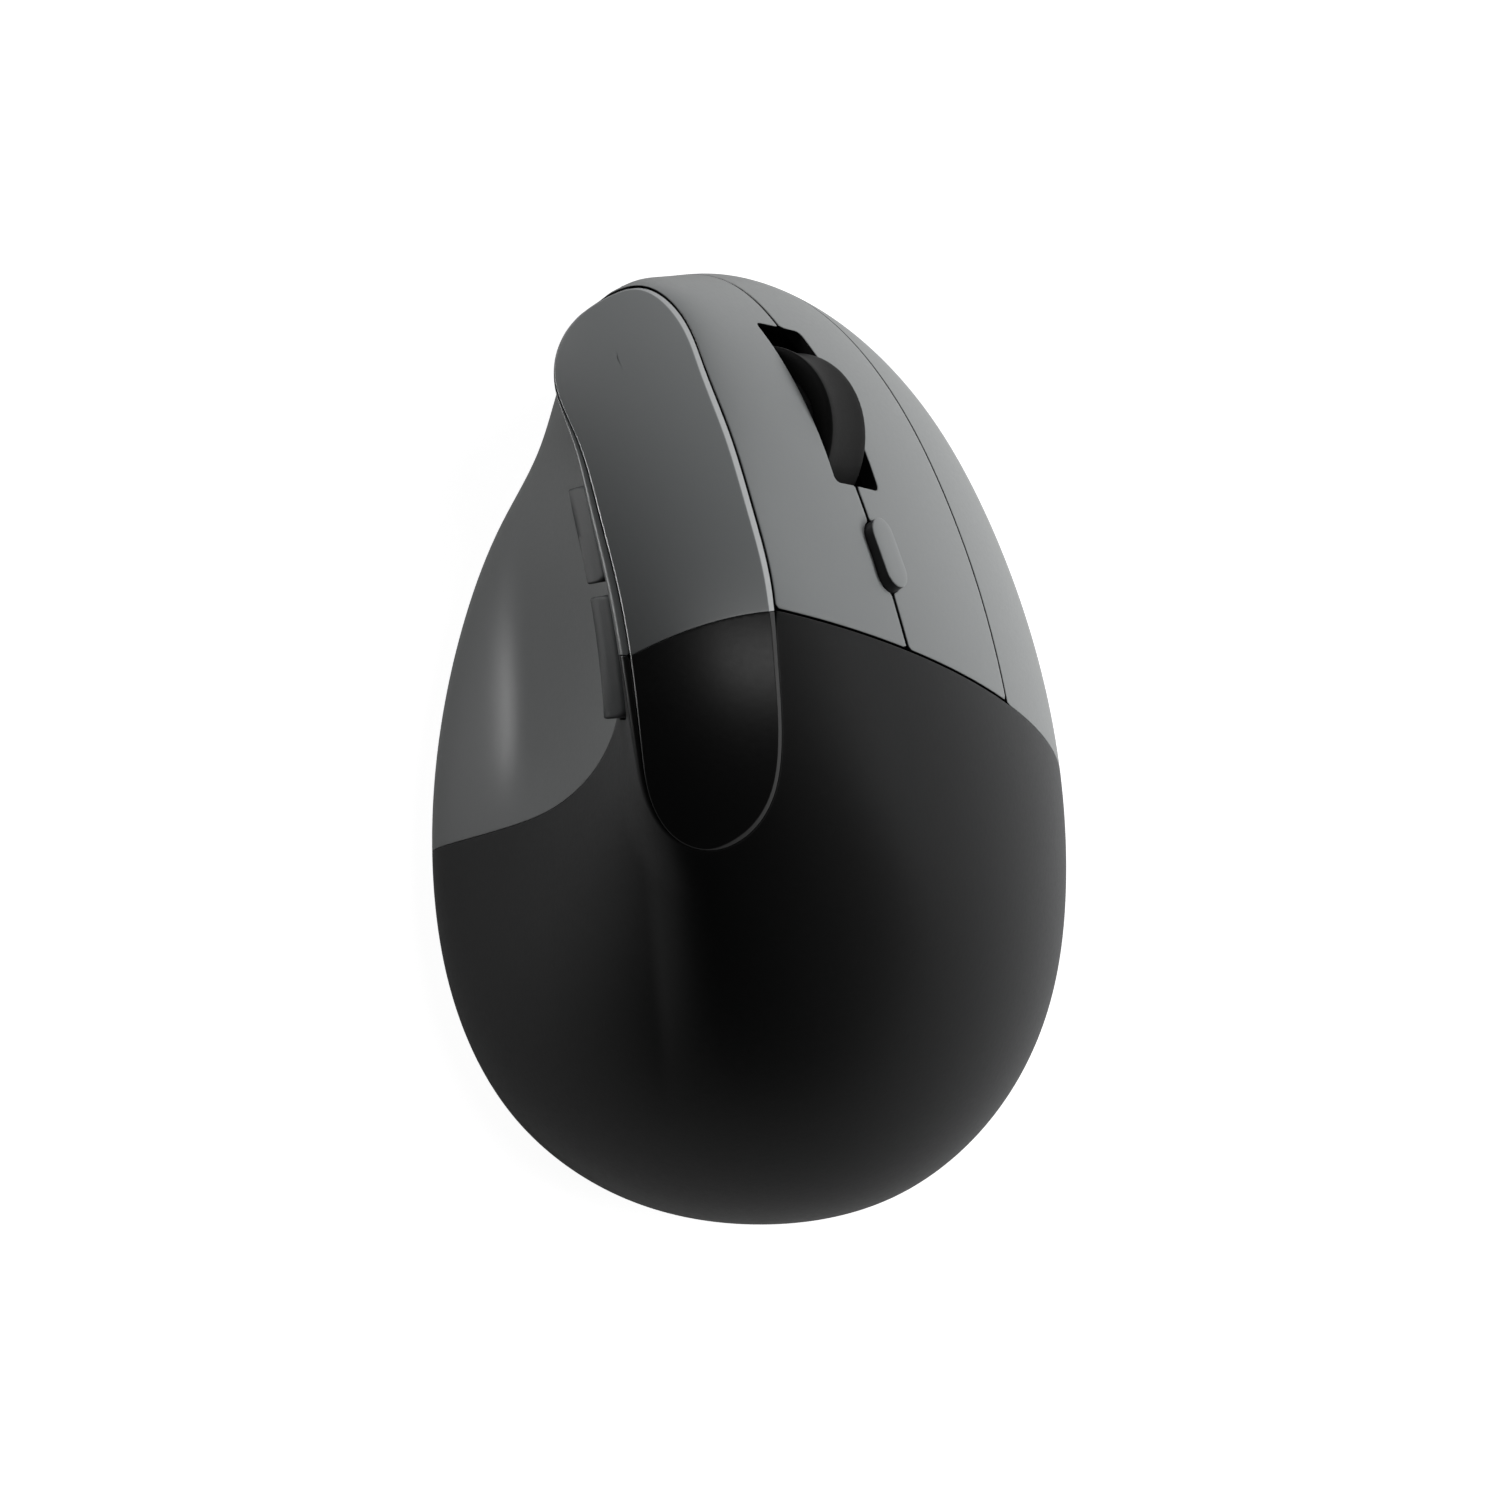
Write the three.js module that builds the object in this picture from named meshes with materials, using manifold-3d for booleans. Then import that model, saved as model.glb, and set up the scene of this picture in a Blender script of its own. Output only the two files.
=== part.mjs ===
// A right-handed vertical mouse (handshake grip), wireless, run by one AA cell.
// Millimetres. +X is the finger side, +Y the front, +Z up. The origin is on the desk, under the middle of the
// footprint. Buttons, wheel and their switches sit in a frame turned by SLOPE about Y, so that its Z is the
// direction in which the fingers press.

import * as THREE from "three";
import { mergeVertices } from "three/addons/utils/BufferGeometryUtils.js";
import Module from "manifold-3d";

const wasm = await Module();
wasm.setup();

// ---------------------------------------------------------------- driving dimensions

const DEG = Math.PI / 180;
const SLOPE = 57 * DEG; // tilt of the finger side from level
const WALL = 2; // thickness of every outer shell
const GAP = 0.5; // width of the gap round the main buttons and the crest strip
const SEAM = 0.3; // width of a seam between fixed shells
const NOSE_GAP = 1.2; // room below the main buttons where they wrap round the nose
const FLOOR_Z = 2.6; // lower rim of the shells
const BASE = { low: 0.8, top: 2.45 }; // underside and floor of the base plate
const SEAT = 0.1; // glue or solder line between stacked pieces
const DIVIDE_X = -6; // under the crest strip, between the finger half and the thumb half

// Finger frame: origin at the wheel's centre (given on the slope), tilted to follow the main buttons forwards.
const FINGER = { at: [-34.7, 34.6, 25.7], tilt: -28 * DEG, boardTop: -6, boardT: 1.6 };
const WHEEL = {
  radius: 10.6, width: 7, hubRadius: 8, axleRadius: 1.5, turn: -9 * DEG,
  slotWidth: 8, slotLength: 22.4, slotY: 0.8,
};
const CARRIER = { y: -15.1, z: -3.3, armX: 5.6 }; // pivot of the wheel carrier and its two arms
const SWITCH = { left: -13.2, right: 13.5, y: -1, ribLow: 2 }; // main switches and the ribs over them
const SPEED = { at: [-1.7, -18.8], turn: 4 * DEG, width: 4, length: 8.3, bottom: 5.2, top: 9.3, stemLow: -0.3 };
const THUMB = {
  below: 4, height: 6.8, proud: 1.8, gap: 0.4, stemX: -12.5, boardX: -10.2,
  forward: { from: 18.9, to: 29.7 },
  back: { from: 3.6, to: 17.4 },
};
const SCREW = { radius: 1, head: 1.9, headHeight: 1, length: 9, start: 1.1 };
const BOSS = { inset: 6.4, radius: 3.6, top: 15, rear: [240, 300], finger: [34], thumb: [162] };
const WEB = { x0: -8, x1: -6.4, y0: -8, y1: 14, top: 63, screws: [[-11, -5], [-11, 11]] }; // chassis upright
const MAIN = { low: 7.2, top: 8.8 }; // main board
const BOARD_POSTS = [[-1, 12.4], [14, 31]];
const SENSOR = { x: 6.5, y: 18 };
const POWER = { x: 9.6, y: 27.4 };
const PAIR = { x: 1, y: 28.5 };
const BATTERY = { x: 6, z: 10.4, from: -43.5, radius: 7.25, length: 50.5, nub: 1.2 };
const SIDES = 48; // profiles round the body

// The crest strip's centre line bends towards the thumb: x = CREST_X - CREST_BEND * y^2.
const CREST_X = -4.3;
const CREST_BEND = 0.0055;
const CREST_MID_Y = 20.4;
const CREST_REACH = 23.5; // half the length of the line that the profiles start from
const CREST_TOP = { z: 70.4, y: 10, fall: 0.0108, crown: 0.012, lean: 0.06 };
const CREST_T = 2;

// Plan outlines, counter-clockwise from the finger side.
const CREST_OUTLINE = [
  [2.3, 18.6], [0.2, 27.1], [-2.4, 35.6], [-5.2, 42.9], [-8, 49], [-12, 51.8], [-16.2, 50.7], [-20.3, 47.3],
  [-21.9, 42.4], [-19.4, 35], [-17, 27.1], [-14.7, 18], [-13.2, 9.5], [-12.1, 0], [-10.7, -6.6], [-8, -10.1],
  [-4.5, -11.2], [-0.8, -9.9], [2.3, -6], [3.5, 0], [3.1, 10],
];
const BODY_OUTLINE = [
  [30, 19.2], [26.2, 28.2], [21, 37.3], [13, 46.3], [5.2, 51.5], [-4, 54], [-10.8, 53], [-15.6, 50.4],
  [-19.5, 46.6], [-21.7, 41.6], [-24.2, 33.8], [-28.2, 26], [-32.6, 14.6], [-35.6, 0], [-36.1, -14.8],
  [-33.1, -30.6], [-26.8, -41.9], [-14.6, -50.9], [0.9, -54], [16.3, -50.9], [27.5, -41.9], [33.6, -30.6],
  [36, -14], [34.8, 1.1],
];

// Profiles round the body. at: direction in degrees; z: height of the widest line; up: pull straight up there;
// dip: angle below level at which the side leaves the crest; out: pull along it; edge: width of the bevel
// between crest strip and side.
const PROFILES = [
  { at: 0, z: 11, up: 23, dip: 38, out: 17, edge: 0.3 },
  { at: 30, z: 16, up: 15, dip: 42, out: 12, edge: 0.3 },
  { at: 60, z: 22, up: 13, dip: 50, out: 5.5, edge: 0.3 },
  { at: 90, z: 24, up: 14, dip: 66, out: 5, edge: 0.4 },
  { at: 120, z: 21, up: 12, dip: 93, out: 12, edge: 0.3 },
  { at: 150, z: 11, up: 7, dip: 98, out: 28, edge: 0.7 },
  { at: 180, z: 8, up: 7, dip: 95, out: 36, edge: 0.9 },
  { at: 210, z: 8, up: 8, dip: 86, out: 38, edge: 0.9 },
  { at: 234, z: 9, up: 14, dip: 62, out: 30, edge: 0.7 },
  { at: 258, z: 11, up: 21, dip: 34, out: 24, edge: 0.3 },
  { at: 285, z: 12, up: 25, dip: 26, out: 22, edge: 0.3 },
  { at: 325, z: 11, up: 25, dip: 32, out: 20, edge: 0.3 },
];
const RIM_INSET = 2.6; // how far the lower rim lies inside the widest line

// ---------------------------------------------------------------- splines and outlines

/** Solves a small dense linear system. */
function solve(matrix, right) {
  const n = right.length;
  const rows = matrix.map((row, i) => [...row, right[i]]);
  for (let c = 0; c < n; c++) {
    for (let r = 0; r < n; r++) {
      if (r === c) continue;
      const share = rows[r][c] / rows[c][c];
      for (let k = c; k <= n; k++) rows[r][k] -= share * rows[c][k];
    }
  }
  return rows.map((row, i) => row[n] / row[i]);
}

/** A closed curve with continuous curvature through values at rising knots, as a function of the knot. */
function closedSpline(knots, values, period) {
  const n = knots.length;
  const after = (i) => (i + 1) % n;
  const before = (i) => (i + n - 1) % n;
  const span = knots.map((k, i) => (i + 1 < n ? knots[i + 1] : knots[0] + period) - k);
  const slope = values.map((v, i) => (values[after(i)] - v) / span[i]);
  const matrix = values.map(() => new Array(n).fill(0));
  for (let i = 0; i < n; i++) {
    matrix[i][before(i)] += span[before(i)];
    matrix[i][i] += 2 * (span[before(i)] + span[i]);
    matrix[i][after(i)] += span[i];
  }
  const bend = solve(matrix, slope.map((s, i) => 6 * (s - slope[before(i)])));
  return (t) => {
    const u = knots[0] + ((((t - knots[0]) % period) + period) % period);
    let i = n - 1;
    while (i > 0 && knots[i] > u) i--;
    const j = after(i);
    const a = u - knots[i];
    const b = span[i] - a;
    const curve = (bend[i] * b ** 3 + bend[j] * a ** 3) / (6 * span[i]);
    const left = (values[i] / span[i] - (bend[i] * span[i]) / 6) * b;
    const right = (values[j] / span[i] - (bend[j] * span[i]) / 6) * a;
    return curve + left + right;
  };
}

/** A smooth closed plan outline through the points, as a ring of short chords. */
function outline(points, chords = 360) {
  const knots = [0];
  points.forEach((p, i) => {
    const q = points[(i + 1) % points.length];
    knots.push(knots[i] + Math.hypot(q[0] - p[0], q[1] - p[1]));
  });
  const period = knots.pop();
  const x = closedSpline(knots, points.map((p) => p[0]), period);
  const y = closedSpline(knots, points.map((p) => p[1]), period);
  return Array.from({ length: chords }, (_, i) => [x((i * period) / chords), y((i * period) / chords)]);
}

const crestRing = outline(CREST_OUTLINE);
const bodyRing = outline(BODY_OUTLINE);
const profileAt = Object.fromEntries(
  ["z", "up", "dip", "out", "edge"].map((key) => [
    key,
    closedSpline(PROFILES.map((p) => p.at), PROFILES.map((p) => p[key]), 360),
  ]),
);

// ---------------------------------------------------------------- the skin

/** Where the profile in direction t (radians) starts in plan. */
function start(t) {
  const y = CREST_MID_Y + CREST_REACH * Math.sin(t);
  return [CREST_X - CREST_BEND * y * y, y];
}

/** Distance along direction t from its start to a ring. */
function reach(t, ring) {
  const [cx, cy] = start(t);
  const [dx, dy] = [Math.cos(t), Math.sin(t)];
  let best = 0;
  ring.forEach(([x0, y0], i) => {
    const [x1, y1] = ring[(i + 1) % ring.length];
    const s0 = (x0 - cx) * dy - (y0 - cy) * dx;
    const s1 = (x1 - cx) * dy - (y1 - cy) * dx;
    if (s0 < 0 === s1 < 0) return;
    const k = s0 / (s0 - s1);
    best = Math.max(best, (x0 + k * (x1 - x0) - cx) * dx + (y0 + k * (y1 - y0) - cy) * dy);
  });
  return best;
}

/** Height of the crest strip's top over a plan point. */
function crestHeight(x, y) {
  const side = x - (CREST_X - CREST_BEND * y * y);
  const along = CREST_TOP.z - CREST_TOP.fall * (y - CREST_TOP.y) ** 2;
  return along - CREST_TOP.crown * side * side - CREST_TOP.lean * side;
}

/** The side profile in direction t: its lower rim, widest point, Bezier pulls and top, as [radius, height]. */
const profiles = new Map();
function profile(t) {
  const key = t.toFixed(7);
  if (profiles.has(key)) return profiles.get(key);
  const value = Object.fromEntries(Object.entries(profileAt).map(([k, f]) => [k, f(t / DEG)]));
  const [cx, cy] = start(t);
  const crest = reach(t, crestRing);
  const wide = reach(t, bodyRing);
  const crestZ = crestHeight(cx + crest * Math.cos(t), cy + crest * Math.sin(t));
  const top = [crest + value.edge, crestZ - value.edge * 0.9];
  const made = {
    crest: [crest, crestZ],
    rim: [wide - RIM_INSET, FLOOR_Z],
    wide: [wide, value.z],
    pullUp: [wide, value.z + value.up],
    pullOut: [
      top[0] + value.out * Math.cos(value.dip * DEG),
      top[1] - value.out * Math.sin(value.dip * DEG),
    ],
    top,
  };
  profiles.set(key, made);
  return made;
}

const TURN = 0.25; // share of the height parameter below the widest line

/** Radius and height of the side at direction t and height parameter v: 0 at the lower rim, 1 at the top. */
function side(t, v) {
  const p = profile(t);
  if (v < TURN) {
    const a = (v / TURN) * (Math.PI / 2);
    return [
      p.rim[0] + (p.wide[0] - p.rim[0]) * Math.sin(a),
      p.rim[1] + (p.wide[1] - p.rim[1]) * (1 - Math.cos(a)),
    ];
  }
  const u = (v - TURN) / (1 - TURN);
  const w = [(1 - u) ** 3, 3 * u * (1 - u) ** 2, 3 * u * u * (1 - u), u ** 3];
  return [0, 1].map((k) => w[0] * p.wide[k] + w[1] * p.pullUp[k] + w[2] * p.pullOut[k] + w[3] * p.top[k]);
}

/** A point in space from direction, radius and height. */
function place(t, [radius, z]) {
  const [cx, cy] = start(t);
  return new THREE.Vector3(cx + radius * Math.cos(t), cy + radius * Math.sin(t), z);
}

const skin = (t, v) => place(t, side(t, v));

/** The outward normal of the skin. */
function skinNormal(t, v) {
  const e = 1e-3;
  const lower = Math.max(v - e, 1e-6);
  const upper = Math.min(v + e, 1);
  const round = skin(t + e, v).sub(skin(t - e, v));
  const rise = skin(t, upper).sub(skin(t, lower));
  return round.cross(rise).normalize();
}

// ---------------------------------------------------------------- solids

/** A three.js geometry as a manifold-3d solid. */
function solid(geometry) {
  const bare = geometry.clone();
  bare.deleteAttribute("normal");
  bare.deleteAttribute("uv");
  const merged = mergeVertices(bare, 1e-4);
  return new wasm.Manifold(
    new wasm.Mesh({
      numProp: 3,
      vertProperties: Float32Array.from(merged.attributes.position.array),
      triVerts: Uint32Array.from(merged.index.array),
    }),
  );
}

const TOLERANCE = 0.01; // edges shorter than this, left by the cuts, are closed up

/** A manifold-3d solid as a three.js geometry, without the slivers that cuts leave beside it. */
function geometryOf(made) {
  const bodies = made.simplify(TOLERANCE).decompose();
  const mesh = bodies.reduce((a, b) => (b.volume() > a.volume() ? b : a)).getMesh();
  const geometry = new THREE.BufferGeometry();
  const positions = Float32Array.from(mesh.vertProperties);
  geometry.setAttribute("position", new THREE.BufferAttribute(positions, mesh.numProp));
  geometry.setIndex(new THREE.BufferAttribute(Uint32Array.from(mesh.triVerts), 1));
  const flat = geometry.toNonIndexed();
  flat.computeVertexNormals();
  return flat;
}

/** A closed body lofted through rows of points; each row is a ring, and the first and last rows close it. */
function loft(rows) {
  const n = rows[0].length;
  const positions = [];
  const corner = (p) => positions.push(p.x, p.y, p.z);
  for (let r = 0; r + 1 < rows.length; r++) {
    for (let i = 0; i < n; i++) {
      const j = (i + 1) % n;
      [rows[r][i], rows[r][j], rows[r + 1][j]].forEach(corner);
      [rows[r][i], rows[r + 1][j], rows[r + 1][i]].forEach(corner);
    }
  }
  const geometry = new THREE.BufferGeometry();
  geometry.setAttribute("position", new THREE.Float32BufferAttribute(positions, 3));
  const merged = mergeVertices(geometry, 1e-4);
  const kept = [];
  const index = merged.index.array;
  for (let i = 0; i < index.length; i += 3) {
    const [a, b, c] = [index[i], index[i + 1], index[i + 2]];
    if (a !== b && b !== c && a !== c) kept.push(a, b, c);
  }
  merged.setIndex(kept);
  return merged;
}

const directions = (n) => Array.from({ length: n }, (_, i) => (i * 2 * Math.PI) / n);

/** A ring on the crest line's axis at each profile's start, which closes a loft as a seam. */
const seam = (turns, height) => turns.map((t) => place(t, [0, height(...start(t))]));

/** The whole body as a solid, moved inwards along its normals by inset. */
function bodySolid(inset, levels, turns) {
  const bottom = inset > 0 ? FLOOR_Z - 5 : FLOOR_Z;
  const rows = [seam(turns, () => bottom)];
  if (inset > 0) rows.push(turns.map((t) => place(t, [side(t, 0)[0] - inset, bottom])));
  for (let i = 0; i <= levels; i++) {
    const v = i / levels;
    if (inset > 0 && (v === 0 || v === 1)) continue;
    rows.push(turns.map((t) => skin(t, v).addScaledVector(skinNormal(t, v), -inset)));
  }
  const shoulder = (t) => profile(t).crest[0] - 1.3 * inset;
  const cap = (share) =>
    turns.map((t) => {
      const flat = place(t, [shoulder(t) * share, 0]);
      return flat.setZ(crestHeight(flat.x, flat.y) - 1.2 * inset);
    });
  rows.push(cap(1), cap(0.5), seam(turns, (x, y) => crestHeight(x, y) - 1.2 * inset));
  return solid(loft(rows));
}

/** The block of space that the crest strip fills, grown by spare all round and reaching depth below its top. */
function crestBlock(spare, depth, turns) {
  const lean = (t) => Math.max(0, Math.cos(t)) * Math.tan(40 * DEG) * depth;
  const level = (radius, drop) =>
    turns.map((t) => {
      const flat = place(t, [radius(t), 0]);
      return flat.setZ(crestHeight(flat.x, flat.y) - drop);
    });
  const low = (t) => profile(t).crest[0] + spare - lean(t);
  return solid(
    loft([
      seam(turns, (x, y) => crestHeight(x, y) - depth),
      level((t) => low(t) * 0.5, depth),
      level(low, depth),
      level((t) => profile(t).crest[0] + spare, -0.01),
      level((t) => profile(t).crest[0] + spare, -6),
      seam(turns, (x, y) => crestHeight(x, y) + 6),
    ]),
  );
}

// ---------------------------------------------------------------- frames

const matrixOf = (...steps) => steps.reduce((all, step) => all.multiply(step), new THREE.Matrix4());
const shift = (x, y, z) => new THREE.Matrix4().makeTranslation(x, y, z);
const slopeFrame = new THREE.Matrix4().makeRotationY(SLOPE);
const fingerFrame = matrixOf(slopeFrame, shift(...FINGER.at), new THREE.Matrix4().makeRotationX(FINGER.tilt));
const wheelFrame = matrixOf(fingerFrame, new THREE.Matrix4().makeRotationZ(WHEEL.turn));
const sideFrame = new THREE.Matrix4().makeBasis(
  new THREE.Vector3(0, 1, 0),
  new THREE.Vector3(0, 0, 1),
  new THREE.Vector3(1, 0, 0),
);

const block = (x0, x1, y0, y1, z0, z1) =>
  new THREE.BoxGeometry(x1 - x0, y1 - y0, z1 - z0).translate((x0 + x1) / 2, (y0 + y1) / 2, (z0 + z1) / 2);

/** An upright round bar from z0 to z1. */
const bar = (radius, z0, z1, x = 0, y = 0, segments = 14) =>
  new THREE.CylinderGeometry(radius, radius, z1 - z0, segments)
    .rotateX(Math.PI / 2)
    .translate(x, y, (z0 + z1) / 2);

/** A prism along z over a plan of [x, y] points. */
function prism(points, z0, z1) {
  const shape = new THREE.Shape(points.map(([x, y]) => new THREE.Vector2(x, y)));
  return new THREE.ExtrudeGeometry(shape, { depth: z1 - z0, bevelEnabled: false }).translate(0, 0, z0);
}

/** A rectangle with rounded corners, as [x, y] points round its centre. */
function rounded(width, length, radius, steps = 4) {
  const points = [];
  for (let corner = 0; corner < 4; corner++) {
    const cx = (width / 2 - radius) * (corner === 0 || corner === 3 ? 1 : -1);
    const cy = (length / 2 - radius) * (corner < 2 ? 1 : -1);
    for (let i = 0; i <= steps; i++) {
      const a = ((corner + i / steps) * Math.PI) / 2;
      points.push([cx + radius * Math.cos(a), cy + radius * Math.sin(a)]);
    }
  }
  return points;
}

const at = (points, x, y) => points.map((p) => [p[0] + x, p[1] + y]);
const cutIn = (frame, geometry) => solid(geometry.clone().applyMatrix4(frame));
const joined = (...geometries) => geometries.map(solid).reduce((all, one) => all.add(one));

// ---------------------------------------------------------------- seams of the shells

const midLine = (y) => -36.9 + 0.0085 * (y - 25) ** 2; // between the main buttons, as u over y on the slope
const sideLine = (y) => -15.6 + 0.0024 * (y - 33) ** 2; // between right button and finger side panel
const rearLine = (u) => 15.6 - 0.195 * (u + 56) - 0.0012 * (u + 56) ** 2; // front edge of the rear shell
const crestLine = (x) => 15.5 - 0.08 * (2.9 - x) - 0.0142 * (2.9 - x) ** 2; // crest cover to crest cap
const thumbLine = (z) => Math.min(-11.4 + 0.165 * (z - 9.8) + 1.4e-6 * (z - 9.8) ** 4, 10.5);

const samples = (from, to, count, f) =>
  Array.from({ length: count + 1 }, (_, i) => f(from + ((to - from) * i) / count));

const AHEAD = 70; // anything in front of, above or beside the body
const BUTTON_LOW = 5; // the buttons wrap round the nose down to this level on the slope
const LEFT_END_X = -14.5; // where the left button stops under the crest's front end

/** The part of the slope between two lines, in front of the rear shell. */
function slopePlate(left, right, rearGap, low) {
  const corner = (line) => {
    let y = 12;
    for (let i = 0; i < 12; i++) y = rearLine(line(y)) + rearGap;
    return [line(y), y];
  };
  const [a, b] = [corner(left), corner(right)];
  const rear = samples(a[0], b[0], 8, (u) => [u, rearLine(u) + rearGap]);
  const up = samples(b[1], AHEAD, 8, (y) => [right(y), y]).slice(1);
  const down = samples(AHEAD, a[1], 8, (y) => [left(y), y]).slice(0, -1);
  return cutIn(slopeFrame, prism([...rear, ...up, ...down], low, AHEAD));
}

/** Everything in front of the thumb side's colour seam. */
const thumbFront = (gap) =>
  cutIn(
    sideFrame,
    prism([...samples(-5, 75, 16, (z) => [thumbLine(z) + gap, z]), [AHEAD, 75], [AHEAD, -5]], -AHEAD, DIVIDE_X),
  );

const outer = bodySolid(0, 10, directions(SIDES));
const inner = bodySolid(WALL, 7, directions(32));
const shell = outer.subtract(inner);
const crestCut = crestBlock(GAP, CREST_T + 0.6, directions(SIDES));
const rightOf = (x) => cutIn(new THREE.Matrix4(), block(x, AHEAD, -AHEAD, AHEAD, -5, 90));
const underCrest = cutIn(fingerFrame, block(-60, -10, -60, 14, -60, -6)); // thumb wall below the left button

const slotShape = at(rounded(WHEEL.slotWidth, WHEEL.slotLength, 1.2), 0, WHEEL.slotY);
const wheelSlot = cutIn(wheelFrame, prism(slotShape, -4, 20));
const speedHole = (spare) =>
  cutIn(
    matrixOf(fingerFrame, shift(...SPEED.at, 0), new THREE.Matrix4().makeRotationZ(SPEED.turn)),
    prism(rounded(SPEED.width + 2 * spare, SPEED.length + 2 * spare, SPEED.width / 2), 2, 20),
  );

/** Outline of a thumb button in side view, growing by spare. */
function thumbOutline({ from, to }, spare = 0) {
  const high = (y) => crestHeight(CREST_X - 9, y) - THUMB.below;
  const top = samples(from - spare, to + spare, 6, (y) => [y, high(y) + spare]);
  const low = samples(to + spare - 1.2, from - spare + 1.2, 6, (y) => [y, high(y) - THUMB.height - spare]);
  return [...top, ...low];
}
const thumbHole = (button) => cutIn(sideFrame, prism(thumbOutline(button, THUMB.gap), -40, -9));

// ---------------------------------------------------------------- looks

const look = (color, roughness, metalness = 0) => ({ color, roughness, metalness });
const GRAPHITE = look(0x55585a, 0.45);
const SOFT_BLACK = look(0x0c0c0c, 0.55);
const TYRE_RUBBER = look(0x101010, 0.7);
const BLACK_PLASTIC = look(0x141414, 0.5);
const GLIDE = look(0x2b2b2d, 0.35);
const BOARD = look(0x0f3d24, 0.5);
const STEEL = look(0xb8b8ba, 0.35, 0.9);
const LENS = look(0xcfd6dc, 0.1);
const WHITE_PLASTIC = look(0xd8d8d4, 0.5);
const CELL = look(0x3a3f44, 0.35, 0.3);
const CABLE = look(0xd0cdc4, 0.5);

const mouse = new THREE.Group();
const slope = new THREE.Group();
slope.rotation.y = SLOPE;
const finger = new THREE.Group();
finger.position.set(...FINGER.at);
finger.rotation.x = FINGER.tilt;
const wheelSet = new THREE.Group();
wheelSet.rotation.z = WHEEL.turn;
mouse.add(slope);
slope.add(finger);
finger.add(wheelSet);

/** Hangs one named piece on a group; the shape is a three.js geometry or a manifold-3d solid. */
function piece(parent, name, shape, finish) {
  const geometry = shape.isBufferGeometry ? shape : geometryOf(shape);
  const mesh = new THREE.Mesh(geometry, new THREE.MeshStandardMaterial(finish));
  mesh.name = name;
  parent.add(mesh);
  return mesh;
}

// ---------------------------------------------------------------- outer shells

/** A screw boss standing inside the wall, in plan direction t (degrees) from the body's middle. */
function bossPlace(angle) {
  const t = angle * DEG;
  const p = skin(t, TURN);
  const inward = skinNormal(t, TURN).setZ(0).normalize().multiplyScalar(-BOSS.inset);
  return [p.x + inward.x, p.y + inward.y];
}

/** Adds bosses with screw holes to a shell. */
function withBosses(made, angles) {
  for (const angle of angles) {
    const [x, y] = bossPlace(angle);
    const post = solid(bar(BOSS.radius, FLOOR_Z + 0.4, BOSS.top, x, y)).intersect(outer);
    made = made.add(post).subtract(solid(bar(SCREW.radius + 0.12, 0, SCREW.length + 2, x, y, 16)));
  }
  return made;
}

function addShells() {
  const crest = crestBlock(0, CREST_T, directions(SIDES)).intersect(outer);
  const ahead = (gap) =>
    solid(prism([...samples(-40, 20, 12, (x) => [x, crestLine(x) + gap]), [20, AHEAD], [-40, AHEAD]], 0, 90));
  piece(mouse, "crest_cover", crest.intersect(ahead(SEAM)), GRAPHITE);
  piece(mouse, "crest_cap", crest.subtract(ahead(0)), SOFT_BLACK);

  const noBound = () => -AHEAD;
  const farRight = () => 50;
  const sides = shell.subtract(crestCut);
  const fingerFront = slopePlate(noBound, farRight, 0, -AHEAD).intersect(rightOf(DIVIDE_X));
  const rear = sides
    .subtract(fingerFront)
    .subtract(thumbFront(0))
    .subtract(thumbHole(THUMB.back));
  piece(mouse, "rear_shell", withBosses(rear, BOSS.rear), SOFT_BLACK);

  const sidePlate = slopePlate((y) => sideLine(y) + GAP / 2, farRight, SEAM, BUTTON_LOW - NOSE_GAP);
  const sidePanel = sides.intersect(sidePlate);
  piece(mouse, "finger_side_panel", withBosses(sidePanel, BOSS.finger), GRAPHITE);

  const fingerZone = cutIn(slopeFrame, block(-AHEAD, AHEAD, -AHEAD, AHEAD, BUTTON_LOW - NOSE_GAP - SEAM, AHEAD))
    .intersect(rightOf(LEFT_END_X - NOSE_GAP))
    .subtract(underCrest);
  const thumbPanel = sides
    .intersect(thumbFront(SEAM).add(solid(block(DIVIDE_X - 1, AHEAD, 20, AHEAD, -5, 90))))
    .subtract(fingerZone)
    .subtract(thumbHole(THUMB.forward))
    .subtract(thumbHole(THUMB.back));
  piece(mouse, "thumb_side_panel", withBosses(thumbPanel, BOSS.thumb), GRAPHITE);

  const pressable = sides
    .intersect(rightOf(LEFT_END_X))
    .subtract(underCrest)
    .subtract(wheelSlot)
    .subtract(speedHole(0.35));
  const left = slopePlate(noBound, (y) => midLine(y) - GAP / 2, GAP, BUTTON_LOW);
  const right = slopePlate((y) => midLine(y) + GAP / 2, (y) => sideLine(y) - GAP / 2, GAP, BUTTON_LOW);
  const rib = (x) =>
    cutIn(fingerFrame, block(x - 1.2, x + 1.2, SWITCH.y - 2, SWITCH.y + 1, SWITCH.ribLow, 9)).intersect(outer);
  piece(mouse, "left_button", pressable.intersect(left).add(rib(SWITCH.left)), GRAPHITE);
  piece(mouse, "right_button", pressable.intersect(right).add(rib(SWITCH.right)), GRAPHITE);
}

/** The two thumb buttons: caps that stand proud of the wall, each with a stem to its switch. */
function addThumbButtons() {
  const proud = bodySolid(-THUMB.proud, 10, directions(SIDES)).subtract(inner);
  for (const [name, button] of [["forward_button", THUMB.forward], ["back_button", THUMB.back]]) {
    const cap = cutIn(sideFrame, prism(thumbOutline(button), -40, THUMB.stemX)).intersect(proud);
    const y = (button.from + button.to) / 2;
    const z = crestHeight(CREST_X - 9, y) - THUMB.below - THUMB.height / 2;
    const stem = solid(block(-15.5, THUMB.stemX, y - 1.5, y + 1.5, z - 1.5, z + 1.5));
    piece(mouse, name, cap.add(stem), GRAPHITE);
  }
}

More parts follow.
